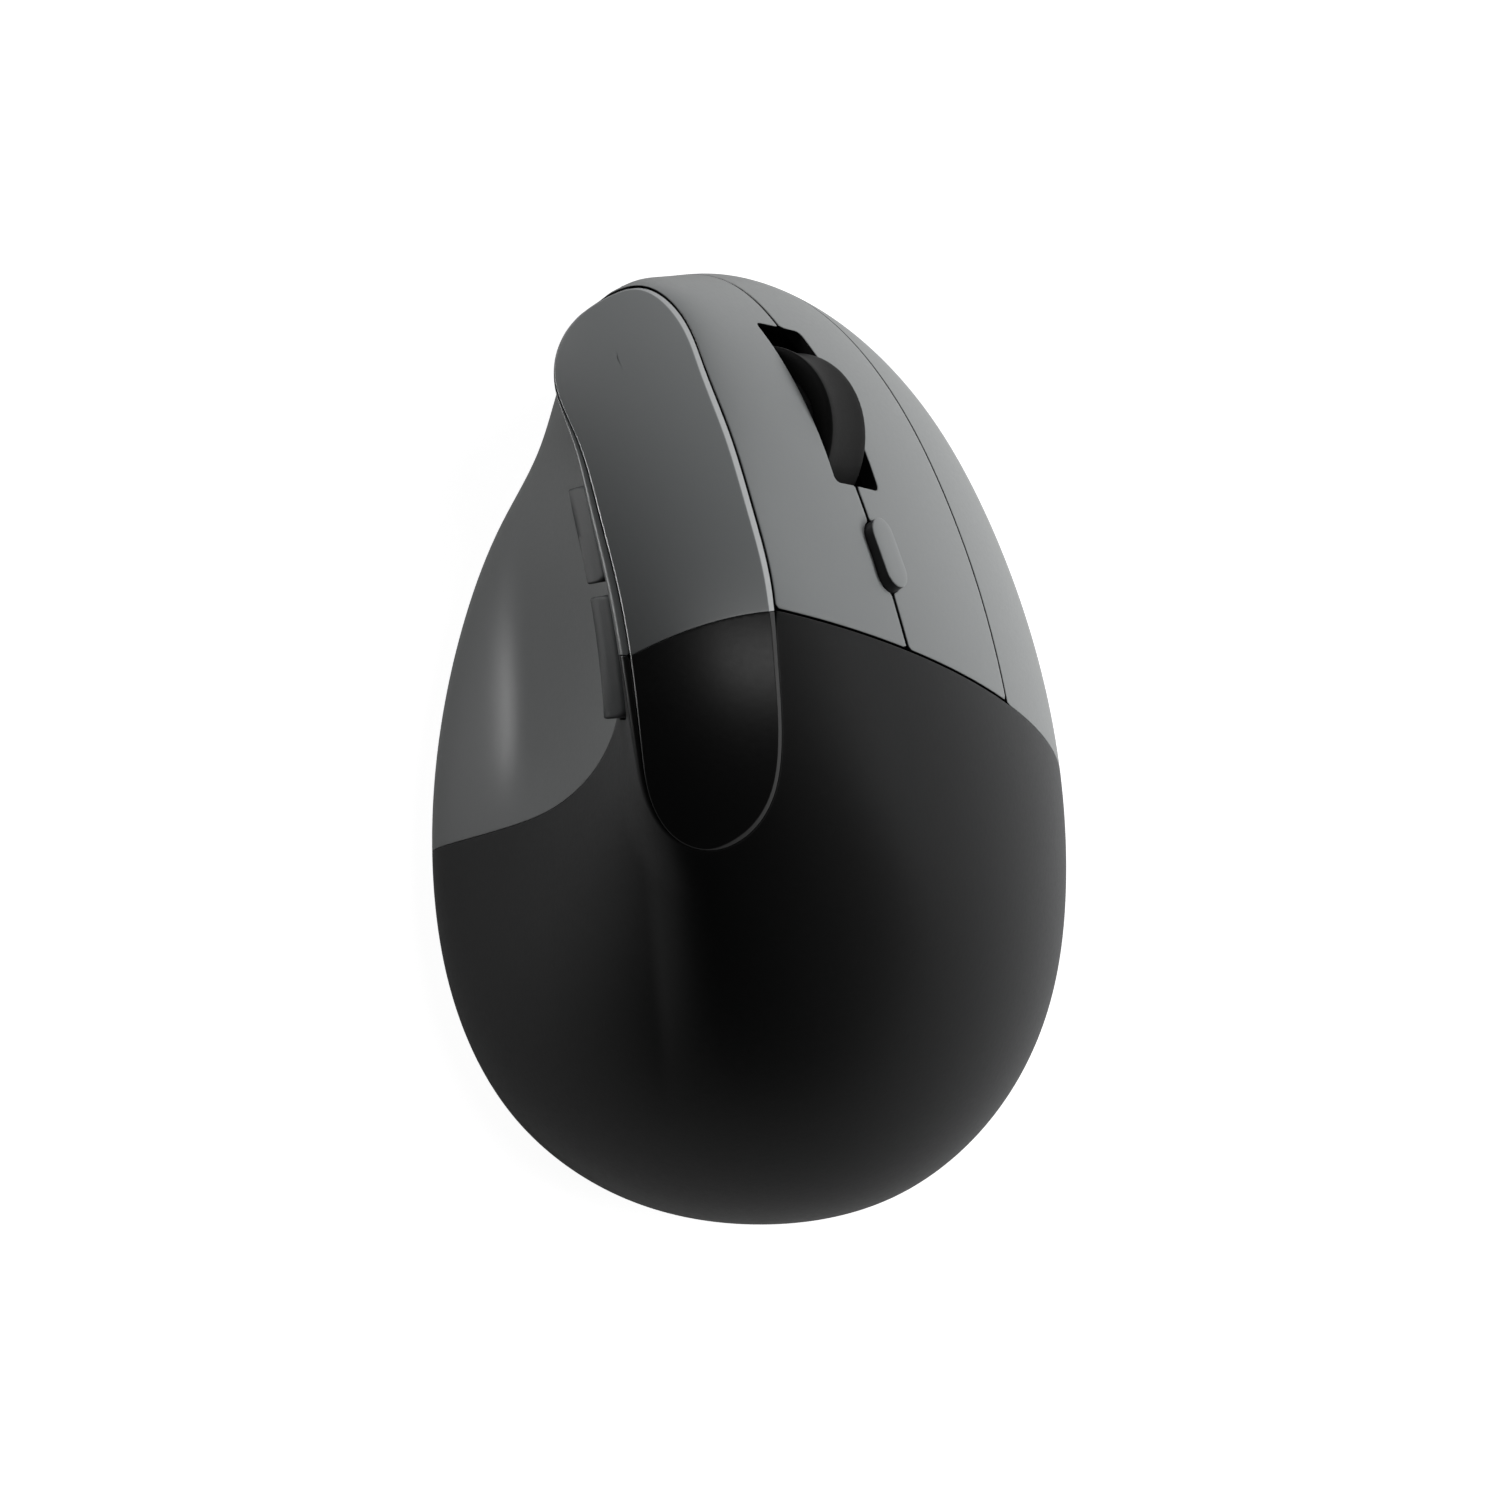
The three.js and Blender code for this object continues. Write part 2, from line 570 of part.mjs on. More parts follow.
/** The pointer speed button, on the line between the main buttons. */
function addSpeedButton() {
  const cap = solid(prism(rounded(SPEED.width, SPEED.length, SPEED.width / 2), SPEED.bottom, SPEED.top));
  const stem = solid(bar(1.2, SPEED.stemLow, SPEED.bottom + 0.5));
  const made = piece(finger, "speed_button", cap.add(stem), GRAPHITE);
  made.position.set(...SPEED.at, 0);
  made.rotation.z = SPEED.turn;
}

// ---------------------------------------------------------------- wheel and its carrier

function addWheel() {
  const { radius, width, hubRadius, axleRadius } = WHEEL;
  const half = width / 2;
  const tyre = new THREE.LatheGeometry(
    [
      [hubRadius + 0.1, -half + 0.4], [radius - 1.1, -half + 0.2], [radius - 0.3, -half + 1.1], [radius, 0],
      [radius - 0.3, half - 1.1], [radius - 1.1, half - 0.2], [hubRadius + 0.1, half - 0.4],
      [hubRadius + 0.1, -half + 0.4],
    ].map(([r, x]) => new THREE.Vector2(r, x)),
    32,
  ).rotateZ(Math.PI / 2);
  piece(wheelSet, "wheel_tyre", tyre, TYRE_RUBBER);
  const hub = new THREE.LatheGeometry(
    [
      [axleRadius + 0.05, -half], [4, -half], [4, -half + 1.6], [hubRadius - 1.4, -half + 1.6],
      [hubRadius - 1.4, -half], [hubRadius, -half], [hubRadius, half], [hubRadius - 1.4, half],
      [hubRadius - 1.4, half - 1.6], [4, half - 1.6], [4, half], [axleRadius + 0.05, half],
      [axleRadius + 0.05, -half],
    ].map(([r, x]) => new THREE.Vector2(r, x)),
    20,
  ).rotateZ(Math.PI / 2);
  piece(wheelSet, "wheel_hub", hub, BLACK_PLASTIC);
  piece(wheelSet, "wheel_axle", bar(axleRadius, -8.2, 9.4).rotateY(Math.PI / 2), STEEL);

  const across = (radius2, x0, x1, y, z) =>
    bar(radius2, x0, x1, 0, 0, 16).rotateY(Math.PI / 2).translate(0, y, z);
  const arm = (x) => block(x - 0.8, x + 0.8, CARRIER.y - 0.9, 3.2, -2.6, 2.6);
  const bore = solid(across(axleRadius + 0.08, -12, 12, 0, 0));
  const carrier = joined(
    arm(-CARRIER.armX),
    arm(CARRIER.armX),
    block(-CARRIER.armX, CARRIER.armX, CARRIER.y - 0.9, CARRIER.y + 0.9, -4.6, -2),
    across(0.8, -8.6, 8.6, CARRIER.y, CARRIER.z),
    block(-10.4, -CARRIER.armX, 1, 3.2, -2, 1),
  ).subtract(bore);
  piece(wheelSet, "wheel_carrier", carrier, BLACK_PLASTIC);
  const encoder = solid(block(CARRIER.armX + 0.9, CARRIER.armX + 4, -4.5, 4.5, -4.2, 4)).subtract(bore);
  piece(wheelSet, "wheel_encoder", encoder, look(0x1d3b66, 0.5));
}

// ---------------------------------------------------------------- finger board and its switches

/** A small push switch standing on z = 0 with its plunger up. */
const tact = (size, height) =>
  joined(
    block(-size / 2, size / 2, -size / 2, size / 2, 0, height - 0.7),
    bar(size * 0.27, height - 1, height),
  );

const turnedBy = (angle, made) => made.transform(new THREE.Matrix4().makeRotationZ(angle).elements);
const boardLow = FINGER.boardTop - FINGER.boardT;
const PLATE = { top: boardLow - 2.6, thick: 1.6 }; // the chassis plate under the finger board
const PADS = [[-13.5, -22], [11.5, -22], [-8.6, 6.2]]; // where the finger board is screwed down

function addFingerBoard() {
  const top = FINGER.boardTop;
  const wheelWay = turnedBy(WHEEL.turn, solid(block(-4.8, 4.8, -14, 40, -30, 20)));
  const postWay = turnedBy(WHEEL.turn, solid(block(-9.5, 9.5, -16.5, -13.6, -30, 20)));
  let board = solid(block(-16.4, 17.5, -26, 8, boardLow, top)).subtract(wheelWay).subtract(postWay);
  for (const [x, y] of PADS) board = board.subtract(solid(bar(0.95, -20, 0, x, y, 12)));
  piece(finger, "finger_board", board, BOARD);

  for (const [name, x] of [["left_switch", SWITCH.left], ["right_switch", SWITCH.right]]) {
    const body = joined(block(-2.9, 2.9, -6.4, 6.4, 0, 6.5), block(-0.6, 0.6, -1.9, 0.7, 6, 7.2));
    piece(finger, name, body, BLACK_PLASTIC).position.set(x, SWITCH.y, top + SEAT);
  }
  piece(finger, "wheel_switch", tact(4.2, 3.4), BLACK_PLASTIC).position.set(-8, 1.5, top + SEAT);
  piece(finger, "speed_switch", tact(4.2, 5), BLACK_PLASTIC).position.set(...SPEED.at, top + SEAT);
  piece(finger, "finger_board_socket", block(-1.6, 1.6, -4, 4, -2.2, 0), WHITE_PLASTIC)
    .position.set(15.8, -14, boardLow - SEAT);
  PADS.forEach(([x, y], i) => {
    const made = joined(bar(1.5, 0, 1, 0, 0, 12), bar(0.8, -5, 0.2, 0, 0, 8));
    piece(finger, `board_screw_${i + 1}`, made, STEEL).position.set(x, y, top + SEAT);
  });
}

/** The inner frame: a web on the base, and a plate with pads and carrier posts that holds the finger board. */
function addChassis() {
  const low = PLATE.top - PLATE.thick;
  const plate = joined(
    block(-18, 14, -26, -17.6, low, PLATE.top),
    block(-12.6, -7, -18, 8, low, PLATE.top),
    block(9.4, 14, -18, 6, low, PLATE.top),
    ...PADS.map(([x, y]) => bar(1.9, PLATE.top - 0.5, boardLow - SEAT, x, y)),
  );
  const post = (side) => {
    const made = solid(block(side * 8 - 0.9, side * 8 + 0.9, CARRIER.y - 1.2, CARRIER.y + 1.2, low, -1.6));
    const foot = solid(block(side * 8 - 0.9, side * 8 + 0.9, CARRIER.y - 4.5, CARRIER.y + 1.2, low, PLATE.top));
    const hole = solid(bar(0.92, -12, 12, 0, 0, 16).rotateY(Math.PI / 2).translate(0, CARRIER.y, CARRIER.z));
    return turnedBy(WHEEL.turn, made.subtract(hole).add(foot));
  };
  let upper = plate.add(post(-1)).add(post(1));
  for (const [x, y] of PADS) upper = upper.subtract(solid(bar(0.95, -20, 0, x, y, 12)));
  const web = joined(
    block(WEB.x0, WEB.x1, WEB.y0, WEB.y1, BASE.top + SEAT, WEB.top),
    block(-14, WEB.x1 + 2, WEB.y0, WEB.y1, BASE.top + SEAT, 4.2),
    ...WEB.screws.map(([x, y]) => bar(2.6, BASE.top + SEAT, 12, x, y)),
    ...[6, 12].map((y) => bar(1.6, 0, 0.9).rotateY(-Math.PI / 2).translate(WEB.x0 + 0.1, y, 59.5)),
  );
  let made = web.add(upper.transform(fingerFrame.elements));
  for (const [x, y] of WEB.screws) made = made.subtract(solid(bar(SCREW.radius + 0.12, 0, 11, x, y, 16)));
  piece(mouse, "chassis", made, BLACK_PLASTIC);
}

/** The upright board behind the thumb buttons, its two switches and its socket. */
function addThumbBoard() {
  const { boardX } = THUMB;
  piece(mouse, "thumb_board", block(boardX, boardX + 1.1, 4, 26, 56, 64.2), BOARD);
  for (const [name, button] of [["forward_switch", THUMB.forward], ["back_switch", THUMB.back]]) {
    const y = (button.from + button.to) / 2;
    const z = crestHeight(CREST_X - 9, y) - THUMB.below - THUMB.height / 2;
    const made = piece(mouse, name, tact(3.4, 1.6), BLACK_PLASTIC);
    made.rotation.y = -Math.PI / 2;
    made.position.set(boardX - SEAT, Math.min(y, 24), Math.min(z, 62.2));
  }
  piece(mouse, "thumb_board_socket", block(boardX - 1.7, boardX - SEAT, 17.5, 21.5, 56.3, 58.3), WHITE_PLASTIC);
}

// ---------------------------------------------------------------- base and what stands on it

/** A ring of the base plate at the given height, inset from the shells' lower rim. */
const baseRing = (inset, z, turns) =>
  turns.map((t) => place(t, [Math.max(profile(t).rim[0] - inset, 5 - inset), z]));

const bossPlaces = [...BOSS.rear, ...BOSS.finger, ...BOSS.thumb].map(bossPlace);
const screwPlaces = [...bossPlaces, ...WEB.screws];
const POCKET = { x0: -22.4, x1: -5.6, y0: -31.4, y1: -9.8, top: 8.9, wall: 1 }; // stows the receiver
const DOOR = { x0: -1.5, x1: 13.5, y0: -45.4, y1: 7.9, thick: 1.4 };

function addBase() {
  const around = directions(40);
  const flat = (z) => seam(around, () => z);
  const { low, top } = BASE;
  const plate = solid(loft([
    flat(low), baseRing(1.9, low, around),
    baseRing(0.5, low + 0.9, around), baseRing(0.5, top, around), flat(top),
  ]));
  const bandOut = solid(loft([
    flat(top - 0.2), baseRing(WALL + 0.5, top - 0.2, around),
    baseRing(WALL + 0.5, top + 1.8, around), flat(top + 1.8),
  ]));
  const bandIn = solid(loft([
    flat(top - 1), baseRing(WALL + 1.7, top - 1, around), baseRing(WALL + 1.7, top + 3, around), flat(top + 3),
  ]));
  let lip = bandOut.subtract(bandIn);
  for (const [x, y] of bossPlaces) lip = lip.subtract(solid(bar(BOSS.radius + 0.62, 0, 20, x, y)));
  lip = lip.subtract(solid(block(-AHEAD, 4, 37, AHEAD, 0, 20))); // the nose is too narrow for a lip
  lip = lip.subtract(solid(block(DOOR.x0 - 2, DOOR.x1 + 2, DOOR.y0 - 2.2, 0, 0, 20)));
  const { x0, x1, y0, y1, wall } = POCKET;
  const pocket = solid(block(x0, x1, y0, y1, top - 0.2, POCKET.top));
  const stow = solid(block(x0 + wall, x1 - wall, y0 + wall, y1 - wall, -5, POCKET.top - wall));
  let made = plate.add(pocket).add(lip.subtract(pocket));
  for (const [x, y] of BOARD_POSTS) made = made.add(solid(bar(1.8, top - 0.2, MAIN.low - SEAT, x, y)));
  for (const [x, y] of BOARD_POSTS) made = made.subtract(solid(bar(0.95, top + 0.4, 9, x, y, 12)));
  const openings = [
    stow,
    solid(block(DOOR.x0 - 0.3, DOOR.x1 + 0.3, DOOR.y0 - 0.4, DOOR.y1 + 0.3, -5, 3)),
    solid(block(SENSOR.x - 4, SENSOR.x + 4, SENSOR.y - 3, SENSOR.y + 3, -5, 3)),
    solid(prism(at(rounded(4.4, 8, 1), POWER.x, POWER.y), -5, 3)),
    solid(bar(2.2, -5, 3, PAIR.x, PAIR.y, 24)),
    ...screwPlaces.map(([x, y]) => solid(bar(SCREW.radius + 0.2, -5, 3, x, y, 16))),
    ...screwPlaces.map(([x, y]) => solid(bar(SCREW.head + 0.2, -5, SCREW.start + SCREW.headHeight, x, y))),
  ];
  made = openings.reduce((left, hole) => left.subtract(hole), made);
  piece(mouse, "base_plate", made, BLACK_PLASTIC);

  const feet = [
    ["front_foot", rounded(18, 5, 2.5), -4, 43],
    ["thumb_side_foot", rounded(5, 22, 2.5), -28, -8],
    ["finger_side_foot", rounded(5, 22, 2.5), 27, -8],
    ["rear_foot", rounded(16, 3.6, 1.8), 0.5, -48.3],
  ];
  for (const [name, plan, x, y] of feet) {
    piece(mouse, name, prism(at(plan, x, y), 0, BASE.low - SEAT), GLIDE);
  }
  screwPlaces.forEach(([x, y], i) => {
    const head = bar(SCREW.head, 0, SCREW.headHeight, 0, 0, 12);
    const screw = joined(head, bar(SCREW.radius, 0.5, SCREW.length, 0, 0, 8));
    piece(mouse, `base_screw_${i + 1}`, screw, STEEL).position.set(x, y, SCREW.start - SEAT);
  });
}

function addBattery() {
  const { x, z, from, radius, length, nub } = BATTERY;
  const along = (r, y0, y1) => bar(r, y0, y1, 0, 0, 32).rotateX(-Math.PI / 2).translate(x, 0, z);
  const end = from + length;
  const cell = joined(along(radius, from, end - nub), along(2.75, end - nub - 0.5, end));
  piece(mouse, "battery_cell", cell, CELL);
  const tray = solid(block(DOOR.x0 - 1.5, DOOR.x1 + 1.5, DOOR.y0 - 1.7, DOOR.y1 + 1.5, BASE.top + SEAT, 19.4))
    .subtract(solid(block(DOOR.x0 - 0.2, DOOR.x1 + 0.2, DOOR.y0 - 0.4, DOOR.y1 + 0.3, 0, 18.2)));
  piece(mouse, "battery_tray", tray, BLACK_PLASTIC);
  const door = joined(
    block(DOOR.x0, DOOR.x1, DOOR.y0, DOOR.y1, BASE.low + 0.1, BASE.low + 0.1 + DOOR.thick),
    block(x - 3, x + 3, DOOR.y1 - 2, DOOR.y1 - 0.8, BASE.low + 1, 3),
  );
  piece(mouse, "battery_door", door, BLACK_PLASTIC);
  const plate = block(x - 4, x + 4, DOOR.y1 - 0.3, DOOR.y1 + 0.1, z - 4.5, z + 4.5);
  piece(mouse, "battery_plate", plate, STEEL);
  const turnsOfWire = 3;
  class Coil extends THREE.Curve {
    getPoint(s, target = new THREE.Vector3()) {
      const a = s * turnsOfWire * 2 * Math.PI;
      const r = 4 - 1.6 * s;
      return target.set(x + r * Math.cos(a), DOOR.y0 + 0.1 + 1.4 * s, z + r * Math.sin(a));
    }
  }
  const wire = new THREE.Shape().absarc(0, 0, 0.22, 0, 2 * Math.PI);
  const spring = new THREE.ExtrudeGeometry(wire, { steps: 36, curveSegments: 2, extrudePath: new Coil() });
  piece(mouse, "battery_spring", spring, STEEL);
}

function addReceiver() {
  const { x0, x1, y0, y1 } = POCKET;
  const x = (x0 + x1) / 2;
  const made = joined(
    block(x - 6, x + 6, y0 + 1.4, y0 + 14, 1.7, 6.2),
    block(x - 7.2, x + 7.2, y0 + 13.5, y1 - 1.4, 1, 7.6),
  );
  piece(mouse, "usb_receiver", made, BLACK_PLASTIC);
}

function addMainBoard() {
  const { low, top } = MAIN;
  let board = solid(block(-3, 16, 10.4, 33, low, top));
  board = board.subtract(solid(block(SENSOR.x - 2, SENSOR.x + 2, SENSOR.y - 2, SENSOR.y + 2, 0, 20)));
  for (const [x, y] of BOARD_POSTS) board = board.subtract(solid(bar(0.95, 0, 20, x, y, 12)));
  piece(mouse, "main_board", board, BOARD);
  piece(mouse, "optical_sensor", block(-5.4, 5.4, -4, 4, 0, 2.4), BLACK_PLASTIC)
    .position.set(SENSOR.x, SENSOR.y, top + SEAT);
  const flange = block(-6, 6, -4.5, 4.5, BASE.top + SEAT, low - SEAT);
  const lens = joined(flange, block(-3.5, 3.5, -2.5, 2.5, 1.3, 3));
  piece(mouse, "sensor_lens", lens, LENS).position.set(SENSOR.x, SENSOR.y, 0);
  piece(mouse, "controller_chip", block(-2.5, 2.5, -2.5, 2.5, 0, 0.9), BLACK_PLASTIC)
    .position.set(5, 27.5, top + SEAT);
  piece(mouse, "finger_socket", block(-1.5, 1.5, -4, 4, 0, 2.2), WHITE_PLASTIC)
    .position.set(14, 17.5, top + SEAT);
  piece(mouse, "thumb_socket", block(-1.5, 1.5, -2.5, 2.5, 0, 2.2), WHITE_PLASTIC)
    .position.set(-1.2, 19.5, top + SEAT);
  BOARD_POSTS.forEach(([x, y], i) => {
    const made = joined(bar(1.5, 0, 1, 0, 0, 12), bar(0.8, -5, 0.2, 0, 0, 8));
    piece(mouse, `main_board_screw_${i + 1}`, made, STEEL).position.set(x, y, top + SEAT);
  });
  const underside = low - SEAT;
  const power = joined(block(-2, 2, -4, 4, underside - 2, underside));
  piece(mouse, "power_switch", power, STEEL).position.set(POWER.x, POWER.y, 0);
  const knob = joined(block(-1.8, 1.8, -2.2, 2.2, 1, 2.2), block(-0.9, 0.9, -0.9, 0.9, 2, underside - 2.2));
  piece(mouse, "power_knob", knob, WHITE_PLASTIC).position.set(POWER.x, POWER.y - 1.5, 0);
  const pair = piece(mouse, "pairing_switch", tact(4, 2), BLACK_PLASTIC);
  pair.rotation.x = Math.PI;
  pair.position.set(PAIR.x, PAIR.y, underside);
  const button = joined(bar(1.9, 1, 3.2), bar(2.6, 2.7, 3.3), bar(1.2, 3.1, 4.4));
  piece(mouse, "pairing_button", button, WHITE_PLASTIC).position.set(PAIR.x, PAIR.y, 0);
}

/** A flat ribbon cable: a path in the x-z plane given a thickness and a width along y. */
function ribbon(path, y0, y1) {
  const curve = new THREE.CatmullRomCurve3(path.map(([x, z]) => new THREE.Vector3(x, z, 0)));
  const line = curve.getPoints(10);
  const outline = (sign) =>
    line.map((p, i) => {
      const d = curve.getTangent(i / 10);
      return [p.x - sign * 0.15 * d.y, p.y + sign * 0.15 * d.x];
    });
  return prism([...outline(1), ...outline(-1).reverse()], 0, y1 - y0).rotateX(Math.PI / 2).translate(0, y1, 0);
}

function addCables() {
  const top = MAIN.top + 2.5;
  const fingerPath = [[8.2, 27], [7.4, 23.4], [10, 18], [14, 14.5], [14, top]];
  const thumbPath = [[-11, 56], [-11, 40], [-11.5, 26], [-4, 17], [-1.2, top]];
  piece(mouse, "finger_cable", ribbon(fingerPath, 14.5, 20.5), CABLE);
  piece(mouse, "thumb_cable", ribbon(thumbPath, 17.8, 21.2), CABLE);
}

addShells();
addThumbButtons();
addSpeedButton();
addWheel();
addFingerBoard();
addChassis();
addThumbBoard();
addBase();
addBattery();
addReceiver();
addMainBoard();
addCables();

export default mouse;
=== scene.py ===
"""A right-handed vertical mouse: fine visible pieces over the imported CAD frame, materials and light.

Shapes are worked out in millimetres and stored in metres. +X is the finger side, +Y the front, +Z up.
"""

import math

import bmesh
import bpy
import numpy as np
from mathutils import Matrix, Vector


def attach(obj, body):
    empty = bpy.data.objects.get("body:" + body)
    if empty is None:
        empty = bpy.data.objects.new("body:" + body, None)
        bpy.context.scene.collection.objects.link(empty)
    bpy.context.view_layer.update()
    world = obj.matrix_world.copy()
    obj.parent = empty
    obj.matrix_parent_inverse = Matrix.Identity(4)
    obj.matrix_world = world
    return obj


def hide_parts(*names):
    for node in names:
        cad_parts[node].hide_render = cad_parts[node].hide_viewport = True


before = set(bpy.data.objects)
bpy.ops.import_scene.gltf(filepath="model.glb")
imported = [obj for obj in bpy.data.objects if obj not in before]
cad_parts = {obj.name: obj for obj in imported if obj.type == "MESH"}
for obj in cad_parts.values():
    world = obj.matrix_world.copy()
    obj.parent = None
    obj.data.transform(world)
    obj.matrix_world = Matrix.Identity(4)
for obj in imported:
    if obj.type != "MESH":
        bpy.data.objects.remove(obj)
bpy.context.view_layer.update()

MM = 0.001
FAR = 9.0  # stands for well away from a hole
UP = np.array([0, 0, 1.0])

# the body
SLOPE = math.radians(57)  # tilt of the finger side
PRESS = np.array([math.sin(SLOPE), 0, math.cos(SLOPE)])  # straight out of that side
WALL = 2.0
FLOOR_Z, RIM_INSET = 2.6, 2.6  # the lower rim, and how far inside the widest line it lies
TURN, BEVEL = 0.25, 0.06  # shares of the skin's upward parameter below the widest line and in the bevel
FOLD, HOLLOW = 1.8, 1.8  # depths of the fold behind the crest strip and of the thumb's hollow

# the crest strip: its bowed centre line in plan, its highest point, and how it falls away from there
CREST_X, CREST_BEND, CREST_MID_Y, CREST_REACH = -4.3, 0.0055, 20.4, 23.5
CREST_TOP, CREST_TOP_Y, CREST_FALL = 70.4, 10, 0.0108
CREST_CROWN, CREST_TILT = 0.012, 0.06
CREST_DEPTH, CREST_PROUD, CREST_TURNS = 2.0, 0.5, 420
CREST_SPLIT, CREST_ROUNDING = 0.03, 0.06  # half the gap between cover and cap, and the rounding there

# seams between the shells
MOVING, FIXED = 0.1, 0.08  # rounding of the edges of moving and of fixed shells
CORNER = 2.0  # rounding where two seams meet, in edge roundings
MID_GAP, SIDE_GAP, PANEL_GAP, REAR_GAP = 0.5, 0.36, 0.04, 0.3
DIVIDE_X = -6.0  # the seams of the thumb side lie left of this, those of the finger side right of it
BUTTON_LOW = 5.0  # where the main buttons end, measured along PRESS
LEFT_END_X, NOSE_GAP = -17.5, 1.1
NOSE_Y = 38  # the nose, where the left button wraps round, starts in front of this
THUMB_FRONT_Y = 20  # rear end of the thumb panel on the finger side
UNDER_X, UNDER_Y, UNDER_Z = -10, 14, -6  # the corner under the crest strip, in the finger side's frame
SHOWN_X, SHOWN_Y = -13.5, 34  # walls left of and ahead of these can be seen from the front left

# wheel, wheel slot and small buttons
TYRE, HUB = 10.6, 8.0
SLOT_HALF_X, SLOT_HALF_Y, SLOT_Y, SLOT_CORNER, SLOT_LOW = 4.0, 11.2, 0.8, 0.8, -6
SPEED_WIDTH, SPEED_LENGTH, SPEED_GAP = 4.0, 8.3, 0.12
THUMB_BUTTONS = {"forward_button": (18.9, 29.7), "back_button": (3.6, 17.4)}
THUMB_BELOW, THUMB_HEIGHT, THUMB_CORNER = 4.0, 6.8, 1.0
THUMB_ROUNDING, THUMB_DEPTH, THUMB_GAP = 0.3, 3.5, 0.22

CREST_OUTLINE = [
    (2.3, 18.6), (0.2, 27.1), (-2.4, 35.6), (-5.2, 42.9), (-8, 49), (-12, 51.8), (-16.2, 50.7),
    (-20.3, 47.3), (-21.9, 42.4), (-19.4, 35), (-17, 27.1), (-14.7, 18), (-13.2, 9.5), (-12.1, 0),
    (-10.7, -6.6), (-8, -10.1), (-4.5, -11.2), (-0.8, -9.9), (2.3, -6), (3.5, 0), (3.1, 10),
]
BODY_OUTLINE = [
    (30, 19.2), (26.2, 28.2), (21, 37.3), (13, 46.3), (5.2, 51.5), (-4, 54), (-10.8, 53), (-15.6, 50.4),
    (-19.5, 46.6), (-21.7, 41.6), (-24.2, 33.8), (-28.2, 26), (-32.6, 14.6), (-35.6, 0), (-36.1, -14.8),
    (-33.1, -30.6), (-26.8, -41.9), (-14.6, -50.9), (0.9, -54), (16.3, -50.9), (27.5, -41.9), (33.6, -30.6),
    (36, -14), (34.8, 1.1),
]
# direction, height of the widest line, pull up, dip below level at the crest, pull out, bevel width
PROFILES = np.array([
    (0, 11, 23, 38, 17, 0.3), (30, 16, 15, 42, 12, 0.3), (60, 22, 13, 50, 5.5, 0.3),
    (90, 24, 14, 86, 6, 0.4), (120, 21, 12, 93, 12, 0.3), (150, 11, 7, 98, 28, 0.8),
    (180, 8, 7, 95, 36, 1.2), (210, 8, 8, 86, 38, 1.2), (234, 9, 14, 62, 30, 0.7),
    (258, 11, 21, 34, 24, 0.3), (285, 12, 25, 26, 22, 0.3), (325, 11, 25, 32, 20, 0.3),
])


# ---------------------------------------------------------------- curves

def smoothstep(low, high, x):
    k = np.clip((x - low) / (high - low), 0, 1)
    return k * k * (3 - 2 * k)


def mix(a, b, k):
    return a + (b - a) * k


def unit(v):
    return v / np.linalg.norm(v, axis=-1, keepdims=True)


def least(blend, *terms):
    """The smallest of the terms, rounded off where two meet."""
    best = terms[0]
    for term in terms[1:]:
        h = np.clip(0.5 + 0.5 * (term - best) / blend, 0, 1)
        best = mix(term, best, h) - blend * h * (1 - h)
    return best


def closed_spline(knots, values, period):
    """A closed curve with continuous curvature through values at rising knots."""
    knots, values = np.asarray(knots, float), np.asarray(values, float)
    n = len(knots)
    span = np.diff(np.append(knots, knots[0] + period))
    slope = (np.roll(values, -1) - values) / span
    matrix = np.zeros((n, n))
    for i in range(n):
        matrix[i, i - 1] += span[i - 1]
        matrix[i, i] += 2 * (span[i - 1] + span[i])
        matrix[i, (i + 1) % n] += span[i]
    bend = np.linalg.solve(matrix, 6 * (slope - np.roll(slope, 1)))

    def at(t):
        u = knots[0] + np.mod(t - knots[0], period)
        i = np.clip(np.searchsorted(knots, u, side="right") - 1, 0, n - 1)
        j = (i + 1) % n
        a, b, s = u - knots[i], span[i] - (u - knots[i]), span[i]
        curve = (bend[i] * b**3 + bend[j] * a**3) / (6 * s)
        return curve + (values[i] / s - bend[i] * s / 6) * b + (values[j] / s - bend[j] * s / 6) * a

    return at


def outline(points, chords=1440):
    """A smooth closed plan outline through the points, as a ring of short chords."""
    points = np.array(points, float)
    steps = np.linalg.norm(np.roll(points, -1, axis=0) - points, axis=1)
    knots, period = np.concatenate([[0], np.cumsum(steps)[:-1]]), steps.sum()
    at = np.arange(chords) * period / chords
    return np.stack([closed_spline(knots, points[:, k], period)(at) for k in (0, 1)], axis=1)


def start(t):
    """Where the profile in direction t starts in plan: on the crest's centre line."""
    y = CREST_MID_Y + CREST_REACH * np.sin(t)
    return CREST_X - CREST_BEND * y * y, y


def reach(t, ring):
    """Distance along direction t from its start to a ring."""
    cx, cy = (c[:, None] for c in start(t))
    dx, dy = np.cos(t)[:, None], np.sin(t)[:, None]
    x, y = ring[:, 0] - cx, ring[:, 1] - cy
    across, along = x * dy - y * dx, x * dx + y * dy
    across2, along2 = np.roll(across, -1, axis=1), np.roll(along, -1, axis=1)
    hit = (across < 0) != (across2 < 0)
    share = across / np.where(hit, across - across2, 1)
    return np.where(hit, along + share * (along2 - along), 0).max(axis=1)


def crest_height(x, y):
    """Height of the skin at the crest strip."""
    side = x - (CREST_X - CREST_BEND * y * y)
    return CREST_TOP - CREST_FALL * (y - CREST_TOP_Y) ** 2 - CREST_CROWN * side * side - CREST_TILT * side


TURNS = np.radians(np.arange(720) / 2)
crest_radius = closed_spline(TURNS, reach(TURNS, outline(CREST_OUTLINE)), 2 * math.pi)
wide_radius = closed_spline(TURNS, reach(TURNS, outline(BODY_OUTLINE)), 2 * math.pi)
wide_z, pull_up, dip_angle, pull_out, full_bevel = (
    closed_spline(np.radians(PROFILES[:, 0]), PROFILES[:, k], 2 * math.pi) for k in range(1, 6)
)


